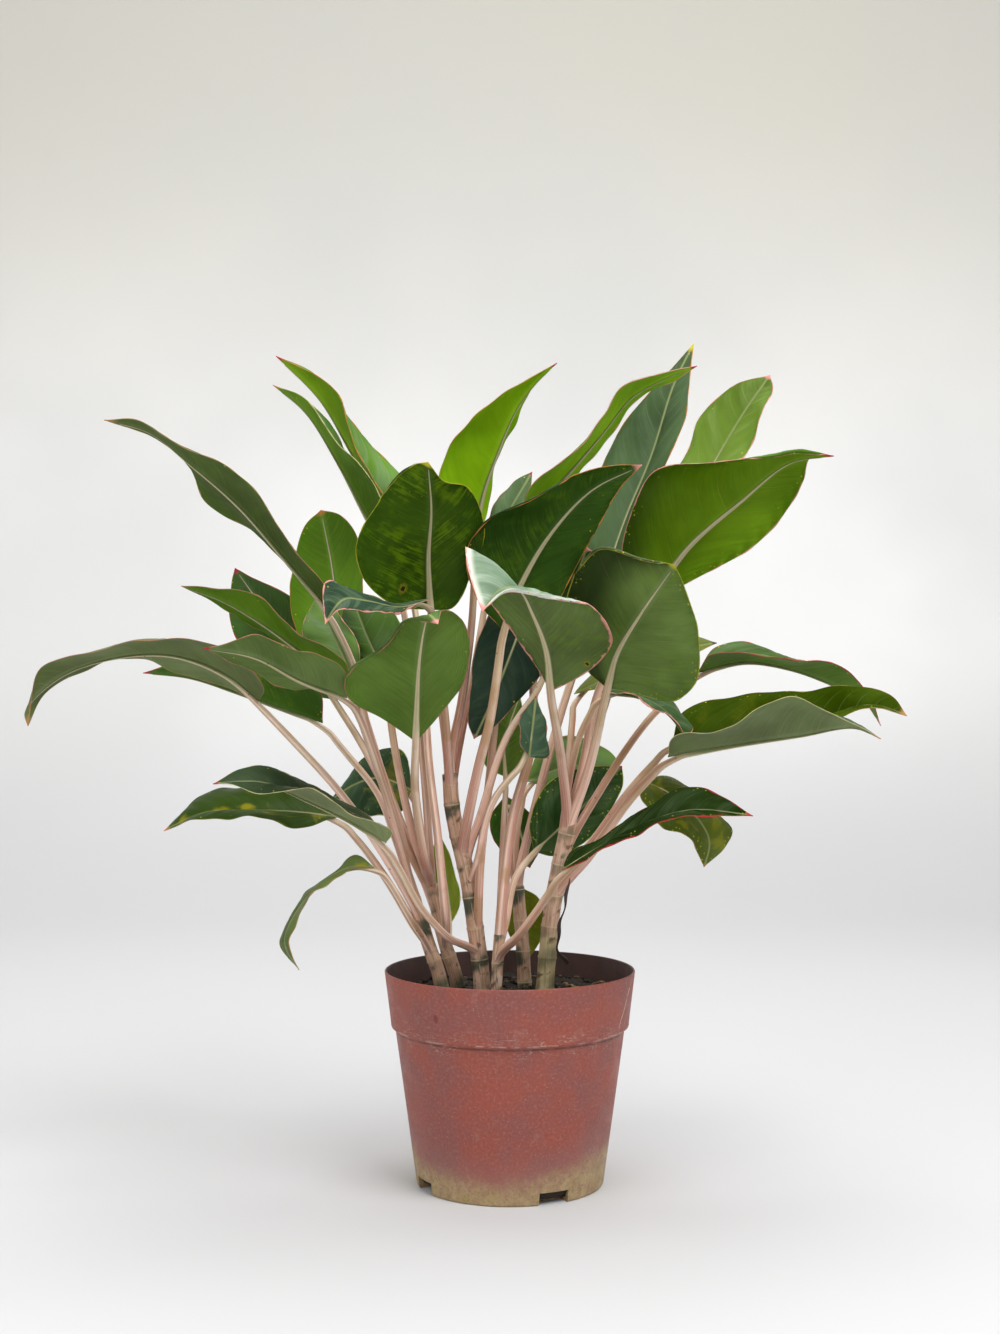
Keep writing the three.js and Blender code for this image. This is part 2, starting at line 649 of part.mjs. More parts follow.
// The sheaths of old and living leaves, one above the other round the cane.
function sheaths(stem) {
  const curve = caneCurve(stem);
  const starts = stem.leaves.map((leaf) => CANE_ROOTED + leaf.start);
  const from = Math.max(Math.min(...starts) - SHEATH_STEP / 2, CANE_ROOTED + SHEATH_BARE);
  const lips = Math.round((Math.max(...starts) + SHEATH_RISE - from) / SHEATH_STEP);
  const points = [];
  const radii = [];
  for (let i = 0; i <= 2 * lips; i++) {
    points.push(curve.getPointAt(Math.min(1, (from + (i * SHEATH_STEP) / 2) / curve.getLength())));
    radii.push(stem.radius + SHEATH_WRAP + (i % 2) * SHEATH_LIP);
  }
  return tube(points, radii, CANE_SIDES);
}

function caneCurve(stem) {
  return smoothCurve(stem.path.map((p) => new THREE.Vector3(...p)));
}

// A cane, ringed where its leaves have been.
function cane(stem) {
  const curve = caneCurve(stem);
  const rings = Math.round(curve.getLength() / CANE_NODE_STEP) * 2;
  const points = [];
  const radii = [];
  for (let i = 0; i <= rings; i++) {
    points.push(curve.getPointAt(CANE_END + (1 - 2 * CANE_END) * (i / rings)));
    radii.push(stem.radius * (i % 2 ? 1 - CANE_RING : 1 + CANE_RING) * (1 - CANE_TAPER * (i / rings)));
  }
  return tube(points, radii, CANE_SIDES);
}

// The plain space that a cane takes up in the soil and in its sheaths.
function caneSpace(stem) {
  const curve = caneCurve(stem);
  const steps = Math.round(curve.getLength() / CANE_NODE_STEP);
  const points = [];
  const radii = [];
  for (let i = 0; i <= steps; i++) {
    points.push(curve.getPointAt(i / steps));
    radii.push(stem.radius * (1 + CANE_RING) * (1 - CANE_TAPER * (i / steps)) + CANE_ROOM);
  }
  return tube(points, radii, CANE_SIDES);
}

function pot() {
  const { rim, collar, shoulder, foot, height, collarDrop, ledge, wall, floor, round, lip } = POT;
  const step = height - collarDrop;
  const profile = [
    [0, 0], [foot - round, 0], [foot, round],
    [shoulder, step - ledge], [collar, step],
    [rim, height - lip], [rim - lip / 2, height], [rim - wall, height],
    [collar - wall, step + lip], [shoulder - wall, step - lip],
    [foot - wall, floor + round], [foot - wall - round, floor], [0, floor],
  ].map(([r, z]) => new THREE.Vector2(r, z));
  let solid = solidOf(new THREE.LatheGeometry(profile, POT.sides).rotateX(Math.PI / 2));
  for (let i = 0; i < NOTCH.count; i++) {
    const box = new THREE.BoxGeometry(NOTCH.width, 2 * NOTCH.depth, 2 * NOTCH.height);
    box.translate(0, -foot, 0);
    box.rotateZ(THREE.MathUtils.degToRad(NOTCH.first + (360 * i) / NOTCH.count));
    solid = solid.subtract(solidOf(box));
  }
  return geometryOf(solid);
}

// The roots on the soil, with "extra" added all round.
function surfaceRoots(extra) {
  const roots = ROOTS.map((root) => {
    const points = smoothCurve(root.map((p) => new THREE.Vector3(...p))).getSpacedPoints(ROOT_STEPS);
    const radii = points.map((point, i) => ROOT_RADIUS * (1 - ROOT_TAPER * i) + extra);
    return solidOf(tube(points, radii, THIN_SIDES));
  });
  return roots.reduce((all, one) => all.add(one));
}

// How far the top of the soil stands above or below its level there.
function unevenness(x, y) {
  const { lump, crumb } = SOIL;
  return lump.height * Math.sin(x / lump.x + 1) * Math.cos(y / lump.y) +
    crumb.height * Math.sin(x / crumb.x + y / crumb.y);
}

// The soil fills the pot, with a lumpy top, a plain hole for each cane and a bed for each root.
function soil() {
  const { rim, collar, shoulder, foot, height, collarDrop, wall, floor, lip } = POT;
  const step = height - collarDrop;
  const inside = wall + SOIL.gap;
  const edge = collar - inside + ((SOIL.top - step) / collarDrop) * (rim - collar);
  const profile = [
    [0, floor + CLEARANCE], [foot - inside - SOIL.corner, floor + CLEARANCE],
    [foot - inside, floor + SOIL.corner],
    [shoulder - inside, step - lip], [collar - inside, step + SOIL.corner],
    [edge, SOIL.top - SOIL.edge], ...SOIL.rings.map((r) => [r, SOIL.top]),
  ].map(([r, z]) => new THREE.Vector2(r, z));
  const geometry = new THREE.LatheGeometry(profile, SOIL.sides).rotateX(Math.PI / 2);
  const position = geometry.attributes.position;
  for (let i = 0; i < position.count; i++)
    if (position.getZ(i) > SOIL.top - SOIL.edge / 2)
      position.setZ(i, SOIL.top + unevenness(position.getX(i), position.getY(i)));
  const spaces = [...STEMS.map((stem) => solidOf(caneSpace(stem))), surfaceRoots(CLEARANCE)];
  return geometryOf(spaces.reduce((left, one) => left.subtract(one), solidOf(geometry)));
}

const MATERIALS = {
  pot: new THREE.MeshStandardMaterial({ color: 0x9a4a3e, roughness: 0.6, metalness: 0 }),
  soil: new THREE.MeshStandardMaterial({ color: 0x2a211b, roughness: 1, metalness: 0 }),
  root: new THREE.MeshStandardMaterial({ color: 0x9a7a52, roughness: 0.9, metalness: 0 }),
  cane: new THREE.MeshStandardMaterial({ color: 0x8b8559, roughness: 0.7, metalness: 0 }),
  petiole: new THREE.MeshStandardMaterial({ color: 0xd3a292, roughness: 0.55, metalness: 0 }),
  blade: new THREE.MeshStandardMaterial({ color: 0x3c6a26, roughness: 0.45, metalness: 0 }),
};

const plant = new THREE.Group();

function add(name, geometry, material) {
  const mesh = new THREE.Mesh(geometry, material);
  mesh.name = name;
  plant.add(mesh);
}

add("pot", pot(), MATERIALS.pot);
add("soil", soil(), MATERIALS.soil);
add("surface_roots", geometryOf(surfaceRoots(0)), MATERIALS.root);
for (const stem of STEMS) {
  const stalks = stem.leaves.map((leaf) => petiole(stem, leaf));
  const joined = stalks.reduce((all, one) => all.add(one), solidOf(sheaths(stem)));
  add(`cane_${stem.name}`, cane(stem), MATERIALS.cane);
  add(`petioles_${stem.name}`, geometryOf(joined.subtract(solidOf(caneSpace(stem)))), MATERIALS.petiole);
  stem.leaves.forEach((leaf, i) => {
    add(`leaf_${stem.name}_${i + 1}`, blade(leaf, (stem.wave + i) * LEAF_PHASE), MATERIALS.blade);
  });
}

export default plant;
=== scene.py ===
# The look of a potted Chinese evergreen: leaves with veins and coloured margins, grooved pink petioles,
# ringed canes, crumbly soil and a worn nursery pot, each built where the frame has it.
import math
import random

import bmesh
import bpy
import numpy as np
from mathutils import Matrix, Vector


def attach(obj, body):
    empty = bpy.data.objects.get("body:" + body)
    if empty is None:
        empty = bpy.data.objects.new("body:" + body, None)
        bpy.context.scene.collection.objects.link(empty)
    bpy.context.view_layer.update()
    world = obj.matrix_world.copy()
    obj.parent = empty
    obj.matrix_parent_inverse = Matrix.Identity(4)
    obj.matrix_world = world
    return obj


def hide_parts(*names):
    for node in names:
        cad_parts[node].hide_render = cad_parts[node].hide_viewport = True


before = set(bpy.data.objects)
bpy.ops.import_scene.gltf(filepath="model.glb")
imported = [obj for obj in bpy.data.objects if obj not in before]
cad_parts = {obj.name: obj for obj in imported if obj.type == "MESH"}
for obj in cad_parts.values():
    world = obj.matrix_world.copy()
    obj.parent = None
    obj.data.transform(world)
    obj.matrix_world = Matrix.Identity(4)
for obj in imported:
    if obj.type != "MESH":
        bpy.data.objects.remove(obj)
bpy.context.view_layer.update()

MM = 0.001
rng = random.Random(11)

# Sizes are in millimetres. These are the driving sizes of the frame's solids.
POT = dict(rim=100, collar=95, shoulder=91.5, foot=75, height=170, drop=44, wall=1.8, floor=3)
NOTCH = dict(count=4, first=26.5, width=25, height=10, depth=13)
SOIL_TOP = 151
SOIL_EDGE = 95.5
CANE_ROOTED = 45
CANE_NODE_STEP = 25
CANE_TAPER = 0.12
SHEATH_RISE = 24
STALK_LEAN = 0.35
PETIOLE_LOW = 3.8
PETIOLE_HIGH = 2.7
BLADE_FOOT = 0.012
BLADE_TIP = 0.998
FOOT_HALF = 0.9
END_REACH = 0.05
BOW = 0.09
WAVE = 2.2
WAVES = 2.4
LEAF_PHASE = 2.4

# These are added for the looks.
BLADE_THICK = 0.7
EDGE_THIN = 0.45
TIP_HALF = 0.3
BLADE_ROWS = dict(long=76, short=44, limit=110)  # the limit is a rib's length
BLADE_OUTS = (0, 0.02, 0.05, 0.1, 0.17, 0.25, 0.34, 0.43, 0.52, 0.61, 0.7, 0.78, 0.86, 0.92, 0.965, 1)
ROLL_OUTS = BLADE_OUTS[:11] + tuple(np.linspace(0.7, 1, 25)[1:])
VEIN_BEND = 0.4
VEIN_SPACING = 15
VEIN_RELIEF = 0.28
CREASE = dict(depth=0.5, width=1.8)
RUFFLE = dict(height=0.7, count=6.5)
ROLL = dict(turn=2.7, tight=0.28, least=0.8, full=2.5, share=0.6)  # a margin that turns back under its blade
PETIOLE_SIDES = 30
PETIOLE_STEP = 4
PETIOLE_FLAT = 0.92
PETIOLE_GROOVE = 0.3
STALK_STEP = 9
RIB_STEP = 6
RIB_CLEAR = 7  # how far up the rib the stalk blends into it
CLASP = dict(lean=0.5, wide=0.62, toe=8, length=60)  # the foot of a petiole, round its cane
RIB_END = 0.95
RIB_FLAT = 0.62
RIB_LEAST = 0.4
CANE_SIDES = 36
CANE_STEP = 1.2
POT_ROUND = 2  # the fillet where wall and underside meet
POT_LEDGE = dict(under=3.2, over=2.5)  # how far the step under the collar reaches down and up
POT_SHARP = 38  # degrees
POT_UNEVEN = dict(oval=0.0035, wavy=0.0012)
POT_SIDES = 168
SOIL_RINGS = 64
SOIL_SIDES = 180
SOIL_GAP = 2.6  # from the pot's outside to the soil's
CRUMBS = dict(count=620, reach=93, least=0.7, most=2.6)
DEAD_STALK = dict(
    radius=1.3, root=(46, -14, 176),
    path=[(558, 950, -24), (560, 925, -30), (566, 900, -34), (569, 878, -38)],
)
ROOTS = [  # path, radius
    ([(42, -36, 151), (50, -10, 152.5), (60, 8, 152), (70, 22, 152.5)], 1.9),
    ([(58, 4, 152), (70, -6, 153), (82, -8, 152)], 1.7),
    ([(60, 8, 152), (50, 22, 152.5), (44, 38, 152)], 1.6),
    ([(46, -30, 153), (52, -22, 156), (60, -20, 154), (66, -26, 151)], 1.1),
    ([(78, 14, 150), (77, 10, 156), (70, 6, 158), (64, 8, 153)], 1.3),
    ([(-60, -30, 152), (-70, -14, 153), (-74, 4, 151)], 1.0),
    ([(0, 62, 151), (22, 66, 153), (36, 60, 151)], 1.3),
]

# Colours are given as a screen shows them, 0 to 255.
# Painted light: the under sides are mostly brighter and more vivid than the upper sides, as light shining
# through the blade is painted into them. Painted shade: ink is dark for a leaf that lies in shadow.
LEAF_COLOURS = dict(  # under side, upper side
    lime=((142, 192, 0), (104, 156, 8)), spring=((92, 134, 14), (66, 112, 26)),
    leek=((84, 122, 14), (68, 104, 34)), fern=((92, 124, 40), (78, 112, 38)),
    moss=((96, 120, 52), (84, 98, 54)), forest=((54, 90, 22), (46, 80, 28)),
    bottle=((40, 72, 6), (40, 70, 26)), deep=((60, 88, 26), (66, 94, 22)),
    amber=((134, 142, 30), (132, 140, 28)), grove=((52, 82, 0), (44, 74, 20)),
    khaki=((66, 86, 6), (50, 70, 0)), lawn=((116, 158, 0), (84, 130, 12)),
    fog=((108, 122, 72), (110, 122, 68)), flap=((128, 140, 94), (50, 68, 40)),
    meadow=((104, 142, 0), (84, 130, 12)), husk=((102, 114, 18), (92, 106, 22)),
    ridge=((80, 98, 42), (72, 86, 44)), glen=((58, 88, 30), (54, 84, 32)),
    glade=((64, 104, 18), (58, 100, 22)), haze=((104, 122, 62), (66, 90, 50)),
    shade=((98, 118, 66), (28, 48, 8)), olive=((102, 124, 62), (116, 128, 66)),
    sage=((108, 122, 76), (52, 72, 42)), reed=((120, 128, 64), (98, 116, 56)),
    teal=((60, 84, 48), (50, 78, 48)), jade=((80, 102, 56), (76, 100, 58)),
    slate=((56, 80, 56), (52, 80, 58)), ink=((36, 52, 36), (28, 46, 34)),
    pale=((112, 144, 58), (106, 142, 62)), straw=((116, 132, 26), (104, 118, 28)),
    mint=((98, 128, 46), (96, 126, 30)), crest=((92, 112, 54), (128, 158, 126)),
)
TRIM_COLOURS = dict(
    pink=(226, 150, 142), red=(176, 48, 60), rose=(172, 116, 98), cream=(198, 186, 140),
    straw=(172, 164, 52), olive=(112, 106, 50), orange=(196, 124, 66), tan=(168, 128, 84),
    yellow=(206, 190, 60), black=(34, 24, 20),
)
RIB_COLOUR = (190, 182, 142)
LEAF_SCATTER = (0.0012, 0.0024, 0.0004)
LEAF_GLOW = 0.12
LEAF_GLOSS = 0.09
PETIOLE_SCATTER = (0.003, 0.0012, 0.0008)
LEAF_GRAIN = (  # how close the strands lie, how short they are, their shift, detail and swirl
    (1.0, 0.03, 3.7, 3, 0.6),
    (8.0, 0.05, 5.1, 3, 0.3),
    (22.0, 0.09, 2.3, 2, 0.2),
)

BACKDROP = dict(flat=(-4200, -1500, 0, 1500), bend=1100, side=4200, top=5200)
LAMP_AIM = (0, 0, 350)
LAMPS = [  # name, place, size in metres, power
    ("key", (900, -1300, 2300), 1.6, 44),
    ("fill", (-1700, -1700, 1500), 2.2, 14),
    ("top", (100, 400, 2700), 2.0, 30),
]
DAYLIGHT = dict(colour=(1.0, 0.99, 0.97, 1), strength=0.58)

# Places on the plant are seen from one fixed eye: (across, down, depth) is a pixel of a 1000 x 1334
# picture and a depth in millimetres behind the pot's axis.
EYE = np.array([-8.0, -1500.0, 412.0])
PICTURE = dict(x=500, y=667, height=1334, focus=1870)

# Each leaf's stalk starts so far up its cane and passes the places in via, listed from the blade down. The
# rib, the left edge and the right edge run from the foot of the blade to its tip. A roll is a stretch of
# margin that turns back (edge, from, to, width). Dusk shades the under side (across, along, how dark). Glow
# and scars are yellow and dark spots (share of the length, millimetres beside the rib, size). Rim is the
# coloured margin's width, and stout the stalk's thickness against the others'.
LEFT_LEAVES = [
    dict(hue="reed", margin="tan", tip="tan", yellow=0.35, stout=0.9, start=8, glow=[(0.1, 0, 6)],
         rib=[(374, 867, -62), (350, 868, -76), (322, 882, -94), (300, 907, -104), (285, 942, -112),
              (299, 970, -114)],
         left=[(350, 871, -88), (318, 889, -108), (302, 915, -118), (288, 940, -122)],
         right=[(355, 855, -64), (332, 874, -80), (295, 908, -94), (281, 943, -104)],
         via=[(386, 878, -50), (410, 917, -40)]),
    dict(hue="deep", margin="olive", tip="orange", yellow=0.6, start=12,
         glow=[(0.66, -2, 9), (0.52, 4, 6)],
         rib=[(338, 817, -5), (298, 812, -9), (250, 811, -14), (205, 813, -18), (164, 831, -20)],
         left=[(298, 827, -32), (245, 817, -44), (198, 820, -36)],
         right=[(305, 792, 18), (245, 785, 24), (208, 794, 14), (186, 808, -2)],
         via=[(364, 848, -10), (390, 885, -14), (413, 924, -16)]),
    dict(hue="fog", margin="rose", tip="tan", silver_and_sheen=0.2, stout=1.05, start=32,
         rib=[(258, 702, -28), (225, 675, -33), (175, 656, -42), (120, 657, -50), (62, 676, -57),
              (25, 712, -62), (28, 726, -62)],
         left=[(264, 688, -46), (243, 661, -62), (195, 641, -76), (140, 638, -82), (90, 655, -82),
               (40, 668, -74)],
         right=[(230, 690, -8), (180, 672, -4), (148, 661, -12), (100, 665, -24), (50, 688, -44)],
         via=[(297, 745, -25), (332, 783, -30), (357, 815, -32), (386, 858, -30)]),
    dict(hue="glade", margin="red", tip="red", yellow=0.2, specks=0.3, start=40, mottle=0.5,
         rib=[(323, 723, 36), (280, 708, 32), (235, 692, 26), (190, 678, 20), (143, 673, 14)],
         left=[(318, 690, 10), (285, 673, 4), (240, 668, 0), (188, 662, 2)],
         right=[(304, 690, 64), (255, 668, 68), (195, 661, 52)],
         via=[(345, 752, 26), (378, 794, 10), (396, 840, 0)]),
    dict(hue="olive", margin="rose", tip="red", start=52,
         rib=[(347, 698, -76), (300, 681, -104), (255, 658, -130), (204, 648, -152)],
         left=[(345, 670, -104), (300, 650, -126), (257, 636, -144), (225, 644, -154)],
         right=[(345, 694, -66), (290, 688, -88), (248, 671, -114), (220, 656, -138)],
         via=[(358, 715, -60), (378, 770, -42), (396, 830, -28)]),
    dict(hue="leek", margin="rose", tip="tan", start=62,
         rib=[(352, 692, -38), (305, 655, -45), (262, 624, -50), (222, 601, -50), (181, 586, -48)],
         left=[(345, 664, -58), (300, 632, -66), (250, 594, -68), (212, 587, -60)],
         right=[(330, 676, -20), (280, 647, -26), (240, 617, -32), (210, 601, -40)],
         via=[(364, 730, -20), (384, 790, -14), (402, 848, -10)]),
    dict(hue="ridge", margin="tan", tip="tan", silver_and_sheen=0.25, start=74,
         rib=[(330, 612, -45), (280, 553, -56), (240, 508, -66), (192, 466, -76), (150, 433, -82),
              (104, 420, -86)],
         left=[(333, 600, -64), (285, 535, -80), (228, 466, -94), (172, 441, -96), (135, 420, -90)],
         right=[(300, 578, -36), (245, 528, -38), (208, 502, -44), (190, 470, -60), (150, 436, -76)],
         via=[(352, 662, -38), (366, 720, -30), (386, 785, -26), (404, 846, -22)]),
]
INNER_LEFT_LEAVES = [
    dict(hue="straw", margin="cream", tip="tan", yellow=0.3, stout=0.8, start=8,
         rib=[(450, 926, 44), (446, 885, 62), (438, 830, 76)],
         left=[(460, 903, 60), (452, 862, 74)],
         right=[(436, 900, 56), (431, 862, 70)],
         via=[]),
    dict(hue="teal", margin="cream", tip="orange", yellow=0.35, specks=0.3, start=20,
         rib=[(412, 790, 50), (380, 778, 68), (352, 786, 82), (328, 803, 92)],
         left=[(402, 810, 40), (372, 817, 52), (346, 812, 72)],
         right=[(404, 752, 68), (375, 750, 86), (350, 776, 96)],
         via=[(425, 850, 30)]),
    dict(hue="glen", margin="red", tip="red", start=26,
         rib=[(335, 700, 96), (300, 650, 112), (262, 605, 126), (235, 568, 134)],
         left=[(352, 655, 92), (315, 615, 100), (275, 588, 112), (250, 576, 124)],
         right=[(290, 690, 122), (250, 662, 136), (231, 620, 144), (231, 584, 140)],
         via=[(365, 750, 46), (400, 820, 26)]),
    dict(hue="spring", margin="orange", tip="orange", start=34,
         rib=[(350, 690, 58), (340, 630, 70), (332, 565, 82), (321, 510, 94)],
         left=[(368, 650, 50), (362, 600, 58), (359, 540, 70), (340, 515, 84)],
         right=[(310, 670, 80), (292, 612, 92), (294, 560, 98), (304, 527, 98)],
         via=[(372, 745, 45), (400, 820, 28)]),
    dict(hue="pale", margin="pink", silver_and_sheen=0.7, tip="pink", start=42,
         rib=[(352, 678, 4), (338, 645, 10), (316, 597, 22)],
         left=[(333, 668, 10), (303, 640, 20), (306, 618, 26)],
         right=[(361, 655, -2), (350, 630, 2), (332, 606, 14)],
         via=[(375, 750, 12), (400, 830, 12)]),
    dict(hue="fern", margin="cream", silver_and_sheen=0.4, start=50,
         rib=[(384, 672, -2), (368, 638, 6), (352, 596, 20)],
         left=[(354, 662, 14), (342, 630, 26), (343, 606, 28)],
         right=[(404, 655, -8), (400, 620, -4), (375, 596, 10)],
         via=[(395, 750, 2), (412, 830, 6)]),
    dict(hue="leek", margin="cream", silver_and_sheen=0.4, tip="orange", start=56,
         rib=[(398, 572, 34), (367, 518, 44), (338, 463, 54), (306, 413, 66), (273, 385, 74)],
         left=[(400, 532, 14), (372, 484, 24), (345, 450, 36), (325, 423, 50), (300, 396, 64)],
         right=[(380, 515, 64), (352, 462, 78), (328, 424, 84), (302, 397, 80)],
         via=[(412, 660, 20), (424, 770, -2), (430, 850, -6)]),
    dict(hue="lawn", margin="orange", silver_and_sheen=0.5, tip="red", rim=1.3, start=10,
         rib=[(408, 560, 72), (384, 500, 84), (355, 458, 92), (320, 400, 102), (276, 356, 110)],
         left=[(398, 520, 50), (372, 480, 60), (351, 430, 70), (338, 398, 82), (318, 376, 94)],
         right=[(428, 500, 98), (396, 468, 112), (365, 442, 120), (342, 408, 122), (318, 376, 118)],
         via=[(422, 660, 30), (429, 764, -18), (438, 840, -32), (445, 915, -29)]),
    dict(hue="fern", margin="rose", tip="pink", rim=1.1, stout=1.1, start=62,
         roll=[("right", 0.35, 0.97, 2.5)],
         rib=[(416, 742, -85), (417, 705, -108), (419, 662, -145), (425, 624, -182), (429, 615, -196),
              (438, 624, -208)],
         left=[(440, 715, -78), (462, 684, -96), (470, 645, -128), (459, 615, -165), (443, 611, -188)],
         right=[(382, 718, -70), (347, 696, -85), (352, 668, -118), (385, 642, -148), (408, 620, -180)],
         via=[(415, 790, -62), (424, 855, -34)]),
]
CENTRE_LEAVES = [
    dict(hue="flap", margin="cream", tip="red", specks=0.2, start=8,
         rib=[(386, 843, -62), (350, 821, -74), (310, 802, -84), (262, 783, -94), (213, 784, -102)],
         left=[(391, 832, -82), (352, 812, -100), (308, 791, -114), (258, 792, -118), (230, 785, -110)],
         right=[(366, 812, -50), (325, 795, -60), (276, 767, -70), (238, 771, -86)],
         via=[(400, 870, -50), (420, 906, -46), (447, 936, -40)]),
    dict(hue="slate", margin="rose", silver_and_sheen=0.5, stout=0.9, start=60,
         rib=[(529, 757, -34), (532, 730, -30), (536, 696, -26)],
         left=[(520, 742, -38), (522, 714, -32)],
         right=[(547, 757, -28), (546, 726, -22)],
         via=[(493, 802, -30), (478, 860, -26)]),
    dict(hue="forest", margin="pink", silver_and_sheen=0.5, rim=2.2, tip="pink", start=78,
         rib=[(541, 686, -13), (556, 640, -30), (572, 592, -44), (587, 547, -54)],
         left=[(538, 650, -22), (548, 605, -36), (567, 574, -46)],
         right=[(566, 650, -28), (582, 600, -44), (596, 556, -52)],
         via=[(506, 739, -14), (482, 812, -18)]),
    dict(hue="bottle", margin="orange", tip="pink", mottle=0.28, dusk=(0.4, -0.3, 0.6), stout=1.2, start=88,
         roll=[("right", 0.3, 0.8, 2.5)],
         rib=[(503, 630, -50), (522, 582, -62), (552, 532, -74), (592, 490, -86), (642, 465, -98)],
         left=[(540, 625, -58), (570, 580, -68), (600, 522, -80), (621, 488, -90)],
         right=[(480, 604, -64), (466, 560, -76), (485, 521, -90), (530, 498, -98), (585, 472, -102),
                (615, 465, -102)],
         via=[(490, 720, -46), (479, 765, -44), (469, 812, -40)]),
    dict(hue="lime", margin="pink", tip="red", rim=1.3, start=12,
         rib=[(522, 520, 0), (560, 482, -6), (600, 436, -12), (632, 397, -18), (662, 380, -24),
              (697, 366, -30)],
         left=[(560, 500, 18), (590, 462, 16), (618, 422, 8), (645, 396, 0), (672, 382, -12)],
         right=[(528, 492, -22), (570, 453, -30), (606, 415, -38), (626, 384, -42), (655, 374, -40)],
         via=[(500, 600, 8), (497, 690, 14), (491, 765, 0), (480, 870, -24)]),
    dict(hue="jade", margin="red", silver_and_sheen=0.35, tip="red", stout=0.9, start=130,
         rib=[(492, 560, 34), (503, 525, 42), (532, 472, 52)],
         left=[(480, 545, 36), (491, 512, 46), (513, 482, 54)],
         right=[(512, 545, 28), (523, 508, 38), (531, 487, 48)],
         via=[(476, 660, 12)]),
    dict(hue="lime", margin="orange", tip="red", start=160,
         rib=[(474, 540, -20), (482, 496, -26), (496, 456, -34), (516, 410, -44), (535, 384, -50),
              (557, 363, -56)],
         left=[(484, 520, 2), (493, 480, 4), (504, 446, -4), (523, 404, -20), (541, 379, -38)],
         right=[(446, 515, -38), (441, 476, -48), (453, 437, -58), (492, 404, -66), (522, 382, -64)],
         via=[(472, 620, -18), (462, 700, -14)]),
    dict(hue="grove", margin="straw", tip="yellow", mottle=0.75, scars=[(0.2, 21, 2.2)], stout=1.1,
         start=150, roll=[("right", 0.72, 1.0, 2)], dusk=(-0.5, -0.3, 0.55),
         rib=[(430, 610, -55), (428, 560, -78), (431, 510, -108), (428, 462, -140)],
         left=[(452, 608, -52), (472, 575, -62), (484, 525, -84), (468, 488, -108), (443, 480, -128)],
         right=[(395, 606, -68), (366, 582, -82), (356, 552, -98), (370, 515, -118), (396, 476, -136),
                (413, 465, -142)],
         via=[(440, 690, -32)]),
    dict(hue="slate", margin="pink", silver_and_sheen=0.6, rim=1.8, tip="pink", start=140,
         rib=[(430, 599, -100), (402, 607, -122), (366, 601, -146), (343, 600, -164), (325, 624, -184)],
         left=[(412, 607, -120), (385, 615, -148), (358, 609, -168), (338, 611, -178)],
         right=[(414, 604, -88), (390, 605, -104), (366, 597, -124), (346, 585, -146), (324, 584, -168)],
         via=[(440, 670, -70), (446, 730, -46)]),
]
FRONT_LEAVES = [
    dict(hue="shade", margin="red", tip="red", rim=1.9, specks=0.3, stout=1.15, start=8, gloss=0.0,
         rib=[(562, 870, -78), (598, 848, -92), (640, 826, -104), (690, 811, -116), (753, 816, -130)],
         left=[(572, 850, -64), (602, 838, -74), (640, 813, -78), (678, 787, -84), (722, 797, -108)],
         right=[(590, 859, -104), (615, 843, -118), (655, 826, -134), (700, 816, -138)],
         via=[(541, 905, -64), (519, 935, -54)]),
    dict(hue="fern", margin="cream", stout=0.8, start=16,
         rib=[(507, 778, 20), (505, 745, 28), (520, 695, 38)],
         left=[(522, 765, 14), (526, 728, 26)],
         right=[(485, 765, 28), (484, 728, 38)],
         via=[(503, 840, -6)]),
    # Painted shade: ink, for a leaf that lies in shadow.
    dict(hue="ink", margin="rose", silver_and_sheen=0.1, rim=0.9, stout=1.15, start=24, tip="rose",
         rib=[(530, 600, -6), (512, 650, -14), (492, 700, -22), (474, 739, -26)],
         left=[(546, 634, -4), (541, 672, -8), (515, 705, -18), (494, 727, -24)],
         right=[(500, 600, -12), (478, 640, -22), (470, 690, -28), (468, 722, -30)],
         via=[(532, 740, 4), (512, 820, -12)]),
    dict(hue="forest", margin="straw", specks=0.7, silver_and_sheen=0.3, start=14,
         rib=[(534, 852, 26), (562, 826, 30), (592, 798, 34), (622, 766, 38)],
         left=[(530, 822, 28), (546, 785, 32), (580, 768, 36)],
         right=[(556, 856, 22), (590, 838, 26), (613, 806, 30), (623, 784, 34)],
         via=[(515, 879, 8), (505, 925, -16)]),
]
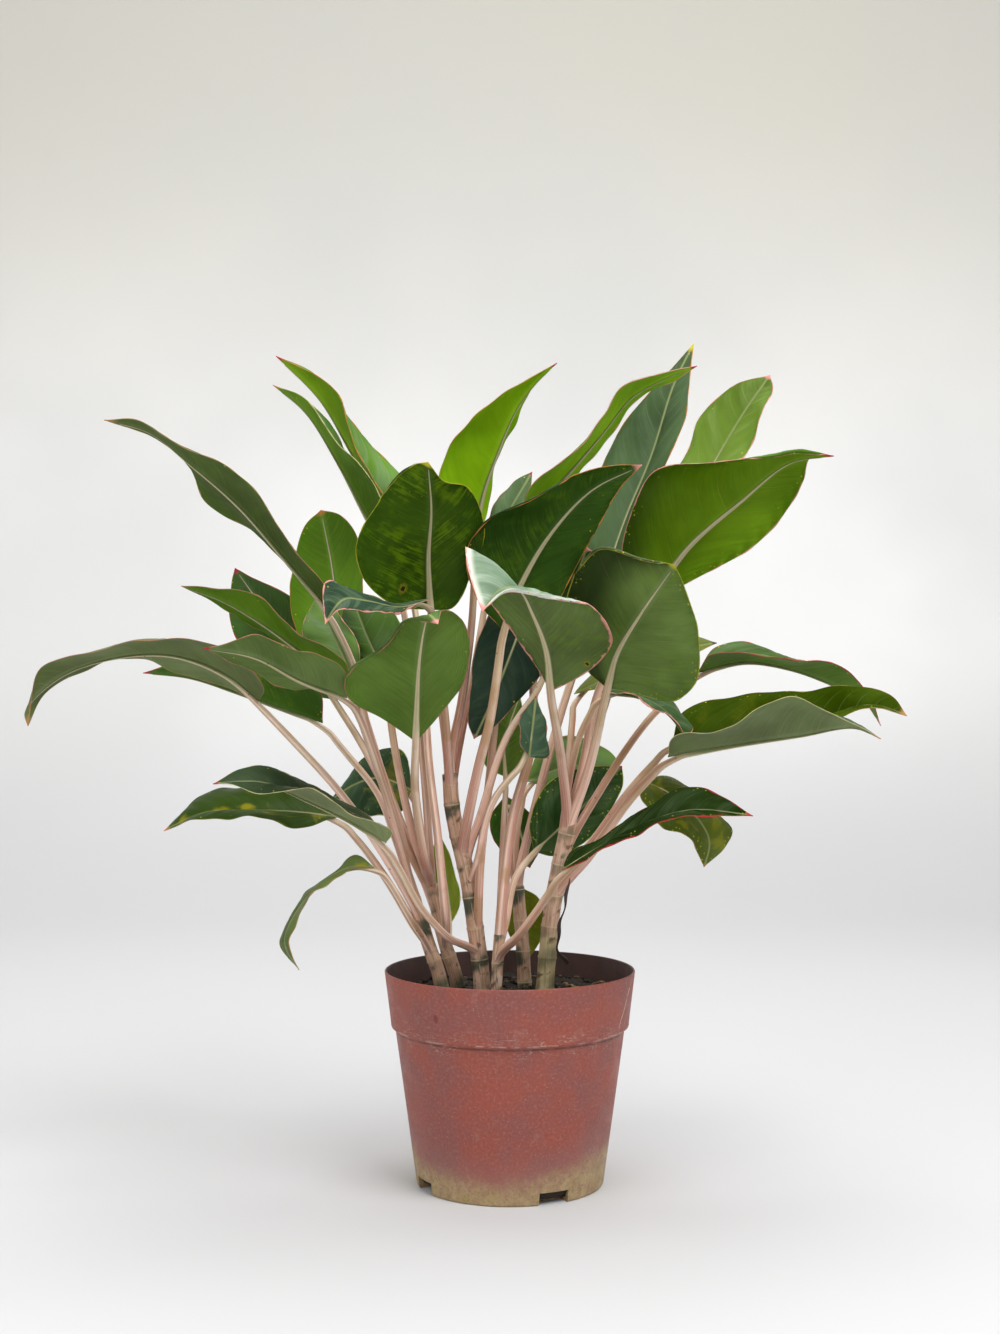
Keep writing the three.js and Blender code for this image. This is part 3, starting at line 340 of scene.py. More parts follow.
RIGHT_LEAVES = [
    dict(hue="sage", margin="cream", tip="orange", stout=1.2, start=50,
         rib=[(668, 757, -60), (729, 746, -78), (800, 736, -96), (855, 728, -108), (881, 739, -116)],
         left=[(690, 742, -34), (750, 728, -40), (810, 716, -56), (850, 720, -86)],
         right=[(673, 738, -82), (715, 731, -104), (755, 711, -122), (795, 699, -130), (845, 719, -124)],
         via=[(630, 800, -35), (590, 855, -18)]),
    dict(hue="khaki", margin="tan", tip="tan", yellow=0.07, specks=0.25, stout=1.05, start=60, silver_and_sheen=0.0,
         gloss=0.0,
         rib=[(672, 742, -12), (740, 735, -20), (810, 722, -30), (870, 706, -36), (907, 716, -40)],
         left=[(684, 712, 8), (752, 692, 6), (800, 694, -4), (845, 684, -14), (890, 695, -28)],
         right=[(690, 746, -36), (750, 740, -50), (830, 719, -62), (875, 709, -56)],
         via=[(630, 790, -10), (594, 840, -6)]),
    dict(hue="husk", margin="tan", tip="tan", yellow=0.35, specks=0.5, start=44,
         rib=[(646, 782, 22), (672, 795, 26), (700, 822, 26), (709, 842, 24), (704, 867, 22)],
         left=[(668, 775, 44), (700, 798, 48), (732, 828, 42), (722, 850, 32)],
         right=[(640, 797, 8), (660, 824, 6), (690, 840, 12)],
         via=[(605, 830, 12)]),
    dict(hue="fern", margin="red", tip="pink", silver_and_sheen=0.3, rim=1.7, specks=0.3, stout=1.05, start=80,
         rib=[(697, 673, 40), (745, 662, 34), (790, 669, 30), (830, 684, 28), (865, 702, 24),
              (881, 726, 22)],
         left=[(715, 648, 54), (750, 644, 56), (790, 656, 54), (830, 672, 50), (862, 694, 38)],
         right=[(712, 656, 16), (750, 652, 10), (800, 663, 8), (840, 664, 8), (866, 690, 12)],
         via=[(650, 718, 28), (600, 790, 10)]),
    dict(hue="forest", margin="pink", tip="pink", silver_and_sheen=0.4, rim=1.5, start=70,
         rib=[(601, 692, -2), (640, 697, -18), (668, 714, -34), (687, 739, -46)],
         left=[(618, 686, 10), (658, 694, 4), (692, 725, -24)],
         right=[(625, 694, -24), (655, 708, -42), (678, 725, -50)],
         via=[(577, 744, -2)]),
    dict(hue="straw", margin="tan", tip="black", start=90,
         rib=[(574, 694, 52), (630, 668, 66), (680, 650, 74), (717, 643, 76)],
         left=[(585, 680, 76), (630, 646, 92), (692, 636, 92)],
         right=[(594, 690, 38), (640, 690, 46), (690, 656, 62)],
         via=[(569, 760, 26)]),
    dict(hue="meadow", margin="pink", tip="red", dusk=(1.0, -0.8, 0.9), specks=0.3, stout=1.2, start=96,
         roll=[("right", 0.7, 1.0, 4)],
         rib=[(655, 590, 0), (690, 545, -12), (740, 502, -28), (790, 463, -44), (834, 456, -56)],
         left=[(672, 590, 8), (725, 563, 0), (775, 528, -14), (803, 480, -34), (810, 458, -46)],
         right=[(626, 575, -14), (622, 545, -22), (634, 505, -36), (655, 472, -48), (715, 461, -58),
                (770, 455, -62), (800, 450, -60)],
         via=[(600, 690, 24), (584, 765, 8)]),
    dict(hue="mint", margin="pink", silver_and_sheen=0.3, tip="pink", start=86, sheen=(154, 180, 100),
         rib=[(690, 505, 66), (718, 456, 76), (742, 416, 80), (770, 375, 80)],
         left=[(672, 478, 78), (690, 448, 90), (702, 412, 94), (738, 384, 90)],
         right=[(722, 485, 56), (750, 446, 60), (764, 410, 66), (773, 388, 76)],
         via=[(622, 655, 34), (585, 770, 10)]),
    dict(hue="moss", margin="straw", dusk=(1.1, -0.2, 0.9), mottle=0.3, specks=0.35, stout=1.2, start=102,
         roll=[("right", 0.5, 1.0, 3)], tip="straw",
         rib=[(607, 688, -48), (618, 652, -76), (640, 615, -102), (660, 586, -124), (675, 565, -140)],
         left=[(640, 694, -50), (672, 703, -66), (697, 680, -84), (698, 635, -104), (686, 590, -124)],
         right=[(588, 672, -60), (568, 632, -78), (568, 592, -98), (600, 546, -126), (642, 558, -140)],
         via=[(590, 765, -24)]),
    dict(hue="crest", margin="pink", silver_and_sheen=0.5, sheen=(206, 220, 200), tip="pink", rim=3.2, mottle=0.3,
         scars=[(0.17, -33, 1.6)], stout=1.2, start=106, roll=[("left", 0.5, 1.0, 4)],
         border=(226, 228, 214),
         rib=[(550, 692, -78), (546, 650, -112), (533, 614, -146), (519, 589, -168), (500, 590, -186),
              (482, 612, -206)],
         left=[(590, 671, -80), (612, 640, -104), (597, 612, -132), (560, 597, -158), (530, 591, -180),
               (505, 591, -196)],
         right=[(541, 674, -88), (518, 640, -112), (490, 604, -140), (472, 572, -158), (465, 547, -174),
                (467, 568, -190)],
         via=[(562, 765, -32)]),
]
BACK_LEAVES = [
    dict(hue="amber", margin="tan", tip="tan", yellow=0.5, specks=0.4, stout=0.85, start=24,
         rib=[(516, 884, 62), (522, 920, 68), (530, 957, 66)],
         left=[(505, 902, 66), (511, 938, 68)],
         right=[(541, 902, 66), (541, 938, 66)],
         via=[]),
    dict(hue="forest", margin="red", tip="red", yellow=0.2, stout=0.85, start=36,
         rib=[(505, 795, 66), (518, 825, 74), (530, 868, 80)],
         left=[(490, 820, 70), (500, 850, 78)],
         right=[(532, 815, 70), (541, 845, 76)],
         via=[(508, 850, 46)]),
    dict(hue="pale", margin="rose", silver_and_sheen=0.6, stout=0.9, start=48,
         rib=[(527, 781, 56), (572, 766, 66), (622, 772, 72)],
         left=[(543, 745, 66), (580, 737, 78), (612, 754, 80)],
         right=[(558, 790, 52), (600, 794, 60)],
         via=[(516, 840, 50)]),
    dict(hue="haze", margin="orange", silver_and_sheen=0.2, tip="yellow", stout=1.05, start=56,
         rib=[(598, 600, 78), (625, 520, 100), (652, 455, 118), (674, 385, 132), (694, 343, 140)],
         left=[(578, 560, 92), (590, 500, 114), (612, 442, 132), (648, 395, 140)],
         right=[(632, 560, 72), (655, 490, 88), (684, 425, 106), (688, 393, 122)],
         via=[(562, 710, 52), (532, 820, 42)]),
]
STEMS = [
    dict(name="left", radius=6, wave=0, leaves=LEFT_LEAVES,
         path=[(-52, -12, 105), (-54, -12, 155), (-66, -12, 195), (-78, -12, 232), (-84, -12, 250)]),
    dict(name="inner_left", radius=6, wave=8, leaves=INNER_LEFT_LEAVES,
         path=[(-40, 8, 105), (-42, 8, 155), (-52, 8, 188), (-60, 8, 222), (-64, 8, 240)]),
    dict(name="centre", radius=7, wave=16, leaves=CENTRE_LEAVES,
         path=[(-20, -14, 105), (-22, -14, 155), (-27, -14, 201), (-34, -14, 245), (-46, -14, 300),
               (-48, -14, 330)]),
    dict(name="front", radius=5, wave=25, leaves=FRONT_LEAVES,
         path=[(-11, -33, 105), (-11, -33, 155), (-10, -33, 180), (-8, -32, 205)]),
    dict(name="right", radius=7.5, bare=44, green=0.5, wave=28, leaves=RIGHT_LEAVES,
         path=[(28, -4, 105), (28, -4, 155), (31, -4, 193), (36, -4, 233), (44, -4, 272), (49, -4, 292)]),
    dict(name="back", radius=6, wave=38, leaves=BACK_LEAVES,
         path=[(14, 26, 105), (12, 27, 155), (10, 30, 190), (6, 34, 236)]),
]


# Curves

def seen(place):
    """The point, in millimetres, that a place in the picture stands for."""
    across, down, depth = place
    share = (depth - EYE[1]) / PICTURE["focus"]
    return np.array([EYE[0] + (across - PICTURE["x"]) * share, depth, EYE[2] - (down - PICTURE["y"]) * share])


def unit(vectors):
    return vectors / np.maximum(np.linalg.norm(vectors, axis=-1, keepdims=True), 1e-9)


def ease(value, start, end):
    """0 before start and 1 after end, smoothly."""
    t = np.clip((value - start) / (end - start), 0, 1)
    return t * t * (3 - 2 * t)


def ring(sides):
    return np.linspace(0, 2 * math.pi, sides, endpoint=False)


class Curve:
    """A centripetal Catmull-Rom curve, read by its share of the length."""

    def __init__(self, points):
        p = np.asarray(points, float)
        self.points = np.vstack([2 * p[0] - p[1], p, 2 * p[-1] - p[-2]])
        self.steps = np.linspace(0, 1, 201)
        line = self.at(self.steps)
        lengths = np.r_[0, np.cumsum(np.linalg.norm(np.diff(line, axis=0), axis=1))]
        self.length = lengths[-1]
        self.shares = lengths / lengths[-1]

    def at(self, t):
        spans = len(self.points) - 3
        x = np.clip(t, 0, 1) * spans
        i = np.minimum(x.astype(int), spans - 1)
        w = (x - i)[:, None]
        a, b, c, d = (self.points[i + k] for k in range(4))
        ab, bc, cd = (np.sqrt(np.linalg.norm(gap, axis=1))[:, None] for gap in (b - a, c - b, d - c))
        leave = ((b - a) / ab - (c - a) / (ab + bc) + (c - b) / bc) * bc
        arrive = ((c - b) / bc - (d - b) / (bc + cd) + (d - c) / cd) * bc
        bend = -3 * b + 3 * c - 2 * leave - arrive
        return b + leave * w + bend * w**2 + (2 * b - 2 * c + leave + arrive) * w**3

    def by_share(self, share):
        return self.at(np.interp(share, self.shares, self.steps))

    def along(self, share):
        t = np.interp(share, self.shares, self.steps)
        return unit(self.at(np.minimum(t + 1e-4, 1)) - self.at(np.maximum(t - 1e-4, 0)))


def carried(path, first, back=False):
    """A direction square to the path at each of its points, carried along it without twist."""
    along = unit(np.gradient(path, axis=0))
    ups = np.zeros_like(path)
    up = np.asarray(first, float)
    for i in range(len(path))[:: -1 if back else 1]:
        up = unit(up - along[i] * np.dot(up, along[i]))
        ups[i] = up
    return ups


# Meshes

def rides(made, slot, *nodes):
    """Ties a piece to the part and puts it in place of its nodes."""
    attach(made, "root")
    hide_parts(*nodes)


def piece(name, points, faces, material, **facts):
    """A piece made of points in millimetres, with a number for each fact at each point."""
    mesh = bpy.data.meshes.new(name)
    mesh.from_pydata((np.reshape(points, (-1, 3)) * MM).tolist(), [], faces)
    mesh.shade_smooth()
    for fact, values in facts.items():
        spread = np.broadcast_to(values, np.shape(points)[:-1]).astype(float).ravel()
        mesh.attributes.new(fact, "FLOAT", "POINT").data.foreach_set("value", spread)
    mesh.materials.append(material)
    made = bpy.data.objects.new(name, mesh)
    bpy.context.scene.collection.objects.link(made)
    return made


def grid_faces(rows, columns, start=0, closed=False):
    """The quads of a grid of points, which may close on itself across its columns."""
    faces = []
    for i in range(rows - 1):
        for j in range(columns if closed else columns - 1):
            a = start + i * columns + j
            b = start + i * columns + (j + 1) % columns
            faces.append((a, b, b + columns, a + columns))
    return faces


class Shapes:
    """Points, faces and facts of several shapes, gathered for one piece."""

    def __init__(self):
        self.points, self.faces, self.facts, self.count = [], [], {}, 0

    def take(self, points, faces, **facts):
        self.faces += [tuple(k + self.count for k in face) for face in faces]
        for fact, values in facts.items():
            self.facts.setdefault(fact, []).append(np.broadcast_to(values, points.shape[:-1]).ravel())
        self.points.append(points.reshape(-1, 3))
        self.count += len(self.points[-1])

    def piece(self, name, material, slot, node):
        facts = {fact: np.concatenate(values) for fact, values in self.facts.items()}
        rides(piece(name, np.vstack(self.points), self.faces, material, **facts), slot, node)


def tube(path, across, height, sides, ups, groove=None):
    """Points, faces and angles of a closed tube, by its half width and half height along the path."""
    side = np.cross(unit(np.gradient(path, axis=0)), ups)
    angles = np.linspace(-math.pi, math.pi, sides, endpoint=False)
    shape = np.ones((len(path), sides))
    if groove is not None:
        dip = np.exp(-((angles / 0.5) ** 2))
        lip = np.exp(-(((np.abs(angles) - 0.78) / 0.24) ** 2))
        shape += groove[:, None] * (lip * 0.3 - dip)
        shape += 0.035 * np.cos(6 * angles + 0.7) + 0.02 * np.cos(9 * angles)
    shape[[0, -1]] *= 0.45
    x = across[:, None] * shape * np.sin(angles)
    y = height[:, None] * shape * np.cos(angles)
    points = path[:, None] + side[:, None] * x[..., None] + ups[:, None] * y[..., None]
    faces = [face[::-1] for face in grid_faces(len(path), sides, closed=True)]
    last = (len(path) - 1) * sides
    faces += [tuple(range(sides)), tuple(range(last + sides - 1, last - 1, -1))]
    return points, faces, angles


# Materials

def paint(colour):
    """The light that a screen gives for a colour."""
    return (*(c / 255 / 12.92 if c <= 10 else ((c / 255 + 0.055) / 1.055) ** 2.4 for c in colour), 1)


def lighter(colour, share):
    return tuple(c + (255 - c) * share for c in colour)


def darker(colour, share):
    return tuple(c * share for c in colour)


class Finish:
    """One material's nodes. What a call takes is a number, a colour or another call's result."""

    def __init__(self, name, **shader):
        self.material = bpy.data.materials.new(name)
        self.material.use_nodes = True
        self.tree = self.material.node_tree
        self.shader = self.tree.nodes["Principled BSDF"]
        self.place = self.node("ShaderNodeTexCoord").outputs["Object"]
        self.colour = None
        for key, value in shader.items():
            self.shader.inputs[key.replace("_", " ")].default_value = value

    def feed(self, socket, value):
        if isinstance(value, bpy.types.NodeSocket):
            self.tree.links.new(value, socket)
        else:
            socket.default_value = value

    def node(self, kind, inputs=None, **settings):
        made = self.tree.nodes.new(kind)
        for key, value in settings.items():
            setattr(made, key, value)
        for key, value in (inputs or {}).items():
            self.feed(made.inputs[key], value)
        return made

    def fact(self, name):
        return self.node("ShaderNodeAttribute", attribute_name=name).outputs["Fac"]

    def math(self, operation, *values):
        return self.node("ShaderNodeMath", dict(enumerate(values)), operation=operation).outputs[0]

    def times(self, value, *others):
        for other in others:
            value = self.math("MULTIPLY", value, other)
        return value

    def add(self, value, *others):
        for other in others:
            value = self.math("ADD", value, other)
        return value

    def size(self, value):
        return self.math("ABSOLUTE", value)

    def gap(self, value, other):
        return self.size(self.math("SUBTRACT", value, other))

    def ease(self, value, start, end, low=0.0, high=1.0):
        inputs = {"Value": value, "From Min": start, "From Max": end, "To Min": low, "To Max": high}
        return self.node("ShaderNodeMapRange", inputs, interpolation_type="SMOOTHSTEP").outputs[0]

    def mix(self, share, *colours):
        one, other = (paint(c) if isinstance(c, tuple) else c for c in colours)
        return self.node("ShaderNodeMix", {0: share, 6: one, 7: other}, data_type="RGBA").outputs[2]

    def base(self, one, other, share, *span):
        """Starts with two colours, mixed by a share or by where a value is in a span."""
        self.colour = self.mix(self.ease(share, *span) if span else share, one, other)

    def coat(self, colour, share, *span, most=1.0):
        """Lays a colour over what is there, by a share or by where a value is in a span."""
        if span:
            share = self.ease(share, *span, 0.0, most)
        self.colour = self.mix(share, self.colour, colour)

    def vector(self, x, y, z=0.0):
        return self.node("ShaderNodeCombineXYZ", {0: x, 1: y, 2: z}).outputs[0]

    def length(self, vector):
        return self.node("ShaderNodeVectorMath", {0: vector}, operation="LENGTH").outputs["Value"]

    def split(self, vector):
        return self.node("ShaderNodeSeparateXYZ", {0: vector}).outputs

    def noise(self, scale, detail=2.0, place=None, distortion=0.0, roughness=0.5):
        inputs = {"Vector": place or self.place, "Scale": scale, "Detail": detail,
                  "Roughness": roughness, "Distortion": distortion}
        return self.node("ShaderNodeTexNoise", inputs).outputs[0]

    def specks(self, scale, size, share, place=None):
        """Small round marks in a share of the cells of a random net."""
        cells = self.node("ShaderNodeTexVoronoi", {"Vector": place or self.place, "Scale": scale})
        chosen = self.math("LESS_THAN", self.split(cells.outputs["Color"])[0], share)
        return self.times(self.ease(cells.outputs["Distance"], size, size * 0.5), chosen)

    def relief(self, height, depth):
        bump = self.node("ShaderNodeBump", {"Height": height, "Strength": 1.0, "Distance": depth * MM})
        self.feed(self.shader.inputs["Normal"], bump.outputs[0])

    def done(self, roughness, *span):
        self.feed(self.shader.inputs["Base Color"], self.colour)
        self.feed(self.shader.inputs["Roughness"], self.ease(roughness, *span) if span else roughness)
        return self.material


def leaf_material(name, leaf, seed, length):
    f = Finish(name, Subsurface_Weight=LEAF_GLOW, Subsurface_Scale=1.0,
               Subsurface_Radius=LEAF_SCATTER, Specular_IOR_Level=leaf.get("gloss", LEAF_GLOSS))
    under, upper = LEAF_COLOURS[leaf["hue"]]
    side, share, across = f.fact("under"), f.fact("share"), f.fact("across")
    edge, rib, vein = f.fact("edge"), f.fact("rib"), f.fact("vein")
    out, off = f.size(across), f.size(rib)
    half = f.times(f.math("SIGN", across), 9.0)
    grains = []
    for close, short, shift, detail, swirl in LEAF_GRAIN:
        place = f.vector(f.times(vein, close), f.times(off, short), f.add(half, seed * shift))
        grains.append(f.noise(1, detail, place, swirl))
    streak, fibre, hair = grains
    broad = f.noise(14, 3)

    # Side veins: a faint line at each whole number, here and there, that fades out before the margin.
    beat = f.gap(f.math("FRACT", f.add(vein, f.times(broad, 0.5))), 0.5)
    line = f.times(f.ease(beat, 0.455, 0.498), f.ease(out, 0.95, 0.4), f.ease(f.noise(22, 2), 0.38, 0.62))

    # The under side: streaks, fibres, mottles with yellow flecks, a shaded part, veins and the rib's flanks.
    f.base(darker(under, 0.8), lighter(under, 0.07), broad, 0.3, 0.7)
    f.coat(darker(under, 0.8), streak, 0.4, 0.7, most=0.35)
    f.coat(lighter(under, 0.14), fibre, 0.42, 0.75, most=0.16)
    f.coat(darker(under, 0.7), hair, 0.5, 0.8, most=0.2)
    spread = f.ease(f.noise(26, 2), 0.36, 0.6)
    mottle = f.times(f.ease(f.add(fibre, f.noise(110, 4)), 0.9, 1.25), spread, f.ease(off, 1, 6))
    f.coat((108, 140, 10), f.times(mottle, leaf.get("mottle", 0.12)))
    f.coat((150, 168, 20), f.times(f.specks(240, 0.16, 0.25), spread, leaf.get("mottle", 0.0), 0.8))
    toward, along, dark = leaf.get("dusk", (0, 0, 0))
    dim = f.add(f.times(across, toward), f.times(share, along), f.times(broad, 0.5))
    f.coat(darker(under, 0.42), dim, 0.35, 0.95, most=dark)
    f.coat(lighter(under, 0.35), f.times(line, 0.16))
    f.coat(lighter(under, 0.22), off, 5, 0.5, most=0.35)
    under_side = f.colour

    # The upper side: streaks, a silver pattern that is partly the leaf's own and partly painted sheen, veins
    # and a pale line along the rib.
    f.base(darker(upper, 0.76), lighter(upper, 0.07), broad, 0.3, 0.7)
    f.coat(darker(upper, 0.76), streak, 0.4, 0.7, most=0.35)
    f.coat(darker(upper, 0.7), hair, 0.5, 0.8, most=0.2)
    silver_and_sheen = f.times(f.ease(streak, 0.38, 0.72), f.ease(out, 1.02, 0.72), f.ease(fibre, 0.1, 0.6))
    f.coat(leaf.get("sheen", (128, 152, 112)), f.times(silver_and_sheen, leaf.get("silver_and_sheen", 0.15)))
    f.coat(lighter(upper, 0.3), f.times(line, 0.3))
    f.coat((150, 158, 108), off, 1.6, 0.4, most=0.8)
    if "border" in leaf:
        f.coat(leaf["border"], f.add(edge, f.times(broad, 5)), 10, 4)
    # The under side's brighter colour is painted light shining through the blade.
    f.colour = f.mix(side, f.colour, under_side)

    def far(place, beside, narrow, grain, ragged):
        """How far it is to a spot beside the rib, with a ragged edge."""
        away = f.vector(f.times(f.add(share, -place), length), f.times(f.add(rib, -beside), narrow))
        return f.add(f.length(away), f.times(f.add(grain, -0.5), ragged))

    # Yellowed patches, specks near the margin and scars of old leaves.
    patch = f.times(f.ease(f.noise(38, 3, distortion=0.8), 0.55, 0.66), leaf.get("yellow", 0.0))
    f.coat((176, 164, 30), f.times(patch, 0.8))
    for place, beside, size in leaf.get("glow", ()):
        spot = far(place, beside, 1.8, f.noise(120, 4), size * 2.0)
        f.coat((168, 158, 26), spot, size * 1.5, size * 0.3, most=0.8)
    f.coat((190, 184, 60), f.times(f.specks(330, 0.3, leaf.get("specks", 0.05)), f.ease(edge, 11, 2), 0.85))
    f.coat((74, 58, 26), f.times(f.specks(130, 0.06, 0.08), 0.7))
    for place, beside, size in leaf.get("scars", ()):
        scar = far(place, beside, 1.0, f.noise(700, 3), size * 2.4)
        f.coat((150, 142, 40), scar, size * 2.2, size, most=0.6)
        f.coat((40, 30, 16), scar, size, size * 0.7)

    # The coloured margin and tip.
    wide = f.ease(f.noise(120, 2), 0.3, 0.7, 0.3, leaf.get("rim", 0.95))
    f.coat(TRIM_COLOURS[leaf["margin"]], f.times(f.ease(edge, wide, f.times(wide, 0.6)), 0.85))
    f.coat(TRIM_COLOURS[leaf.get("tip", "red")], f.add(share, f.times(f.noise(90, 2), 0.03)), 0.972, 1.0)

    f.relief(f.add(f.times(line, 0.5), f.times(fibre, 0.3), f.times(f.noise(900, 2), 0.3)), 0.22)
    return f.done(f.add(f.ease(f.noise(45, 3), 0.3, 0.8, 0.36, 0.5), f.times(side, 0.1)))


def petiole_material():
    f = Finish("petiole_skin", Subsurface_Weight=0.15, Subsurface_Scale=1.0,
               Subsurface_Radius=PETIOLE_SCATTER, Specular_IOR_Level=0.35)
    share, around, rise, tint = (f.fact(k) for k in ("share", "around", "rise", "tint"))
    turn, back = f.math("SINE", around), f.math("COSINE", around)
    edge = f.size(turn)
    lines = f.vector(f.times(turn, 2.6), f.times(rise, 0.012), f.add(f.times(tint, 40), back))
    lines = f.noise(1, 3, lines, 0.4)
    hairs = f.vector(f.times(turn, 9), f.times(rise, 0.02), f.add(f.times(tint, 70), f.times(back, 9)))
    hairs = f.noise(1, 3, hairs)
    broad = f.noise(1, 2, f.vector(f.times(rise, 0.02), f.times(tint, 30)))

    # Rose below and cream above, with a painted highlight on one side and painted shade on the other, tan
    # edges that are partly the sheath's margins and partly painted shade at the sides, whitish toes and fine
    # lines.
    rose = f.mix(f.ease(tint, 0.2, 0.9), (240, 196, 176), (192, 136, 118))
    cream = f.mix(f.ease(broad, 0.35, 0.7), (232, 212, 182), (198, 176, 132))
    f.base(rose, cream, f.add(share, f.times(broad, 0.5)), 0.55, 1.25)
    # Painted shade on one side and a painted highlight on the other.
    f.coat((150, 108, 88), turn, 0.0, 0.9, most=0.45)
    f.coat((246, 228, 214), turn, 0.0, -0.7, most=0.4)
    # Tan edge lines: partly the sheath's margins, partly painted shade at the sides.
    f.coat((140, 102, 66), edge, 0.8, 1.0, most=0.6)
    f.coat((238, 222, 204), rise, 44, 14, most=0.4)
    f.coat((178, 118, 98), lines, 0.48, 0.7, most=0.6)
    f.coat((236, 214, 200), hairs, 0.5, 0.75, most=0.5)
    f.coat((152, 112, 78), hairs, 0.46, 0.3, most=0.5)

    # The rib under the blade, green beside it, tan patches, green toes, specks and the dead stalk's black.
    f.coat(RIB_COLOUR, share, 1.0, 1.12, most=0.85)
    flank = f.times(f.ease(edge, 0.6, 0.92), f.ease(share, 1.02, 1.2), f.ease(share, -0.1, 0.1))
    f.coat((82, 106, 42), f.times(flank, 0.75))
    f.coat((172, 132, 88), f.times(f.ease(f.noise(26, 3), 0.54, 0.66), f.ease(share, 1.0, 0.7), 0.55))
    f.coat((84, 96, 58), f.times(f.ease(f.noise(60, 2), 0.46, 0.56), f.ease(rise, 20, 4), 0.8))
    f.coat((92, 52, 36), f.times(f.specks(190, 0.16, 0.08), 0.8))
    f.coat((34, 26, 22), share, -0.4, -0.6, most=0.94)
    f.relief(f.add(f.times(hairs, 0.6), f.times(lines, 0.6), f.times(f.noise(700, 2), 0.2)), 0.35)
    return f.done(lines, 0.3, 0.8, 0.42, 0.56)


def cane_material(stem):
    """Pinkish where old sheaths still wrap it, dark green between, and bare and tan low down on some."""
    f = Finish(f"cane_{stem['name']}", Specular_IOR_Level=0.35)
    around, rise, beat = (f.fact(k) for k in ("around", "rise", "beat"))
    turn = f.math("SINE", around)
    blotch = f.noise(48, 3, distortion=0.2)
    lines = f.noise(1, 3, f.vector(f.times(turn, 4), f.times(rise, 0.04), stem["radius"]))
    grain = f.ease(lines, 0.35, 0.7)
    step = f.math("FRACT", f.add(beat, f.add(f.times(f.noise(45, 3), 0.9), f.times(turn, 0.16))))
    bare = f.add(rise, f.times(f.noise(90, 3), 24))
    wrapped = f.mix(grain, (208, 172, 148), (166, 132, 104))
    stripped = f.mix(grain, (206, 190, 146), (178, 160, 116))
    f.base(wrapped, stripped, bare, stem.get("bare", 0) + 70, stem.get("bare", 0) + 52)
    green = f.times(f.ease(step, 0.02, 0.26), f.ease(step, 0.85, 0.4), f.ease(blotch, 0.58, 0.42))
    f.coat((36, 58, 40), f.times(green, stem.get("green", 0.9)))
    ringed = f.ease(f.gap(f.math("FRACT", beat), 0.5), 0.468, 0.49)
    f.coat((204, 190, 152), f.times(ringed, f.ease(f.noise(50, 2), 0.35, 0.55), 0.6))
    f.coat((74, 52, 36), f.times(f.specks(180, 0.2, 0.16), 0.7))
    rough = f.times(f.ease(f.noise(110, 4), 0.52, 0.6), f.ease(f.gap(step, 0.9), 0.13, 0.02), 0.75)
    f.coat((66, 48, 34), rough)
    f.relief(f.add(lines, f.times(f.noise(500, 3), 0.5)), 0.5)
    return f.done(blotch, 0.3, 0.7, 0.5, 0.7)


